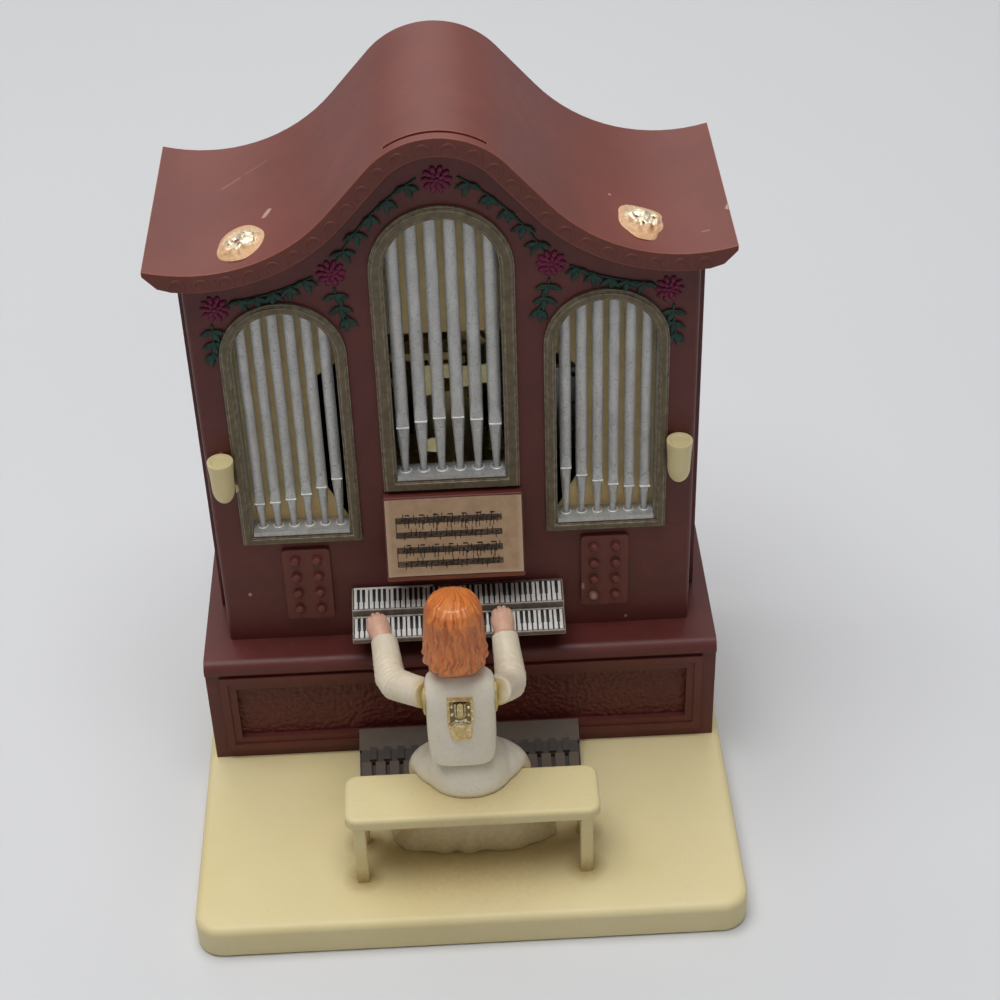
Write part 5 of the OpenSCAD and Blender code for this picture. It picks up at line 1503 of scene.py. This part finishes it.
def gilt():
    """Gilding that is dark in the sunk floor."""
    finish = Finish("gilt", metallic=0.7)
    rubbed = finish.noise(0.8 * MM, 4)
    sunk = (finish.y - back_at.y).ramp(-0.55 * MM, -0.2 * MM)
    inside = (abs(finish.x - SOCKET.x) < 0.4 * SOCKET_W) * (abs(finish.z - SOCKET.z) < 0.42 * SOCKET_H)
    colour = finish.mix(rubbed.ramp(0.35, 0.7), (0.50, 0.36, 0.15), (0.78, 0.63, 0.34))
    colour = finish.mix(sunk * inside * 0.85, colour, (0.11, 0.075, 0.035))
    return finish.paint(colour=colour, roughness=0.16 + rubbed * 0.18,
                        normal=finish.bump(rubbed, 0.4, 0.25 * MM))


fresh()
bpy.ops.mesh.primitive_cube_add(size=1)
socket = added("gilt_socket", (SOCKET_W, SOCKET_T, SOCKET_H))
pick(socket, "FACE", lambda at, normal: normal.y < -0.9)
bpy.ops.mesh.inset(thickness=SOCKET_RIM)
bpy.ops.transform.translate(value=(0, SOCKET_DEPTH, 0))
bpy.ops.mesh.inset(thickness=0.12 * MM)
done()
apply(socket, "BEVEL", width=0.16 * MM, segments=3, limit_method="ANGLE")
placed(socket, move_by(SOCKET.x, back_at.y + 0.05 * MM, SOCKET.z))

fresh()
bpy.ops.mesh.primitive_torus_add(major_segments=24, minor_segments=10, major_radius=RIDGE_R,
                                 minor_radius=RIDGE_T)
ridge = added("gilt_ridge", (1, 1, 1), (math.pi / 2, 0, 0))
whole(ridge)
bpy.ops.mesh.bisect(plane_co=(0, 0, 0), plane_no=(0, 0, 1), clear_outer=True)
done()
pick(ridge, "EDGE", lambda at, along: at.z > -0.005 * MM and abs(along.z) < 0.5)
bpy.ops.mesh.extrude_region_move(TRANSFORM_OT_translate={"value": (0, 0, RIDGE_RISE)})
bpy.ops.mesh.edge_face_add()
done()
placed(ridge, move_by(SOCKET.x, back_at.y - 0.2 * MM, SOCKET.z - 0.2 * MM))

# %% Plate, chips and tongue of the socket
PLATE_R, PLATE_T, PLATE_RISE = 0.6 * MM, 0.7 * MM, 2.2 * MM
CHIPS = ((-1.45, 1.5, 0.8, 0.3), (1.45, 1.2, 0.85, -0.5), (-1.5, -0.4, 0.75, 0.9), (1.5, -0.6, 0.7, 0.2),
         (-0.8, -2.0, 0.85, -0.4), (0.75, -2.0, 0.9, 0.5), (0.0, -2.35, 0.6, 0.0))
TONGUE_AIM, TONGUE_MIDDLE = 40 * MM, 40.3 * MM

fresh()
bpy.ops.mesh.primitive_cylinder_add(vertices=24, radius=PLATE_R, depth=PLATE_T)
plate = added("gilt_plate", (1, 1, 1), (math.pi / 2, 0, 0))
pick(plate, "VERT", lambda at, normal: at.z > 0.05 * MM)
bpy.ops.transform.translate(value=(0, 0, PLATE_RISE))
done()
apply(plate, "BEVEL", width=0.12 * MM, segments=2, limit_method="ANGLE")
placed(plate, move_by(SOCKET.x, back_at.y - 0.15 * MM, SOCKET.z - 0.3 * MM))
chips = []
for x, z, size, spin in CHIPS:
    fresh()
    bpy.ops.mesh.primitive_cone_add(vertices=5, radius1=size * MM, radius2=0.15 * size * MM, depth=0.6 * MM)
    chip = added("gilt_chip", (1, 1, 1), (math.pi / 2 + 0.3 * spin, spin, 0))
    chips.append(placed(chip, move_by(SOCKET.x + x * MM, back_at.y - 0.05 * MM, SOCKET.z + z * MM)))
tongue_at, _ = ray_on("gown_back", (SOCKET.x, -0.05, TONGUE_AIM), (0, 1, 0))
tongue = ball("gilt_tongue", (1, 1, 1), 32, 20)


def squared(at):
    """A rounded block with a torn, rippled face."""
    block = Vector([math.copysign(abs(v) ** 0.6, v) for v in at])
    ripple = 0.22 * math.sin(5 * at.z + 2.5 * at.x) * max(0.0, -at.y)
    return Vector((2.0 * block.x, 0.6 * block.y - ripple, 2.2 * block.z)) * MM


shaped(tongue, squared)
placed(tongue, move_by(SOCKET.x, tongue_at.y + 0.1 * MM, TONGUE_MIDDLE))
fit(smooth(joined("back_socket", [socket, ridge, plate, tongue]), 40), "organist", "gold_card", gilt())
fit(smooth(joined("socket_chips", chips), 20), "organist", "gold_card", BRIGHT_GILT)
print("socket at y", round(back_at.y / MM, 2), "with", len(chips), "chips")

# %% [markdown]
# ## Glue and flash
#
# The last small things: yellow glue where the sleeves meet the shoulders, a peg beside the left lamp and a
# nub of moulding flash on the right elbow. All start as balls. Noise makes the glue and the nub uneven, and
# one side of the peg is flat.

# %% Glue at the shoulders
GLUE_SIZE = (0.5 * MM, 1.7 * MM, 3.2 * MM)
GLUE_OUT, GLUE_BACK, GLUE_UP = 6.3 * MM, 1.0 * MM, 15.0 * MM
beads = []
for side in (-1, 1):
    bead = ball("glue", GLUE_SIZE, 20, 20)
    pressed(bead, lambda at: 0.3 * MM * noise.noise(at * 500 + Vector((side, 0, 0))))
    beads.append(placed(bead, move_by(torso_x + side * GLUE_OUT, waist.y - GLUE_BACK, waist.z + GLUE_UP)))
fit(smooth(joined("shoulder_glue", beads), 60), "organist", "cream_plastic", GLUE)
print("glue beads:", len(beads))

# %% A peg beside the left lamp and a nub on the right elbow
PEG_SIZE, PEG_FLAT = (0.62 * MM, 0.5 * MM, 1.25 * MM), -0.15 * MM
PEG_X, PEG_OUT, PEG_Z = -39.1 * MM, 0.35 * MM, 69.3 * MM
NUB_SIZE = (0.75 * MM, 0.35 * MM, 0.38 * MM)
NUB_AT = Vector((9.8, -20.6, 38.6)) * MM
peg = ball("case_peg", PEG_SIZE, 20, 14)
shaped(peg, lambda at: Vector((max(at.x, PEG_FLAT), at.y, at.z)))
placed(peg, move_by(PEG_X, facade_y - PEG_OUT, PEG_Z))
fit(smooth(peg, 60), "case", "cream_plastic", CREAM)
nub = ball("sleeve_nub", NUB_SIZE, 16, 10)
pressed(nub, lambda at: 0.15 * MM * noise.noise(at * 1500))
placed(nub, Matrix.Translation(NUB_AT))
fit(smooth(nub, 60), "organist", "gown_plastic", GOWN)
print("peg and nub added")
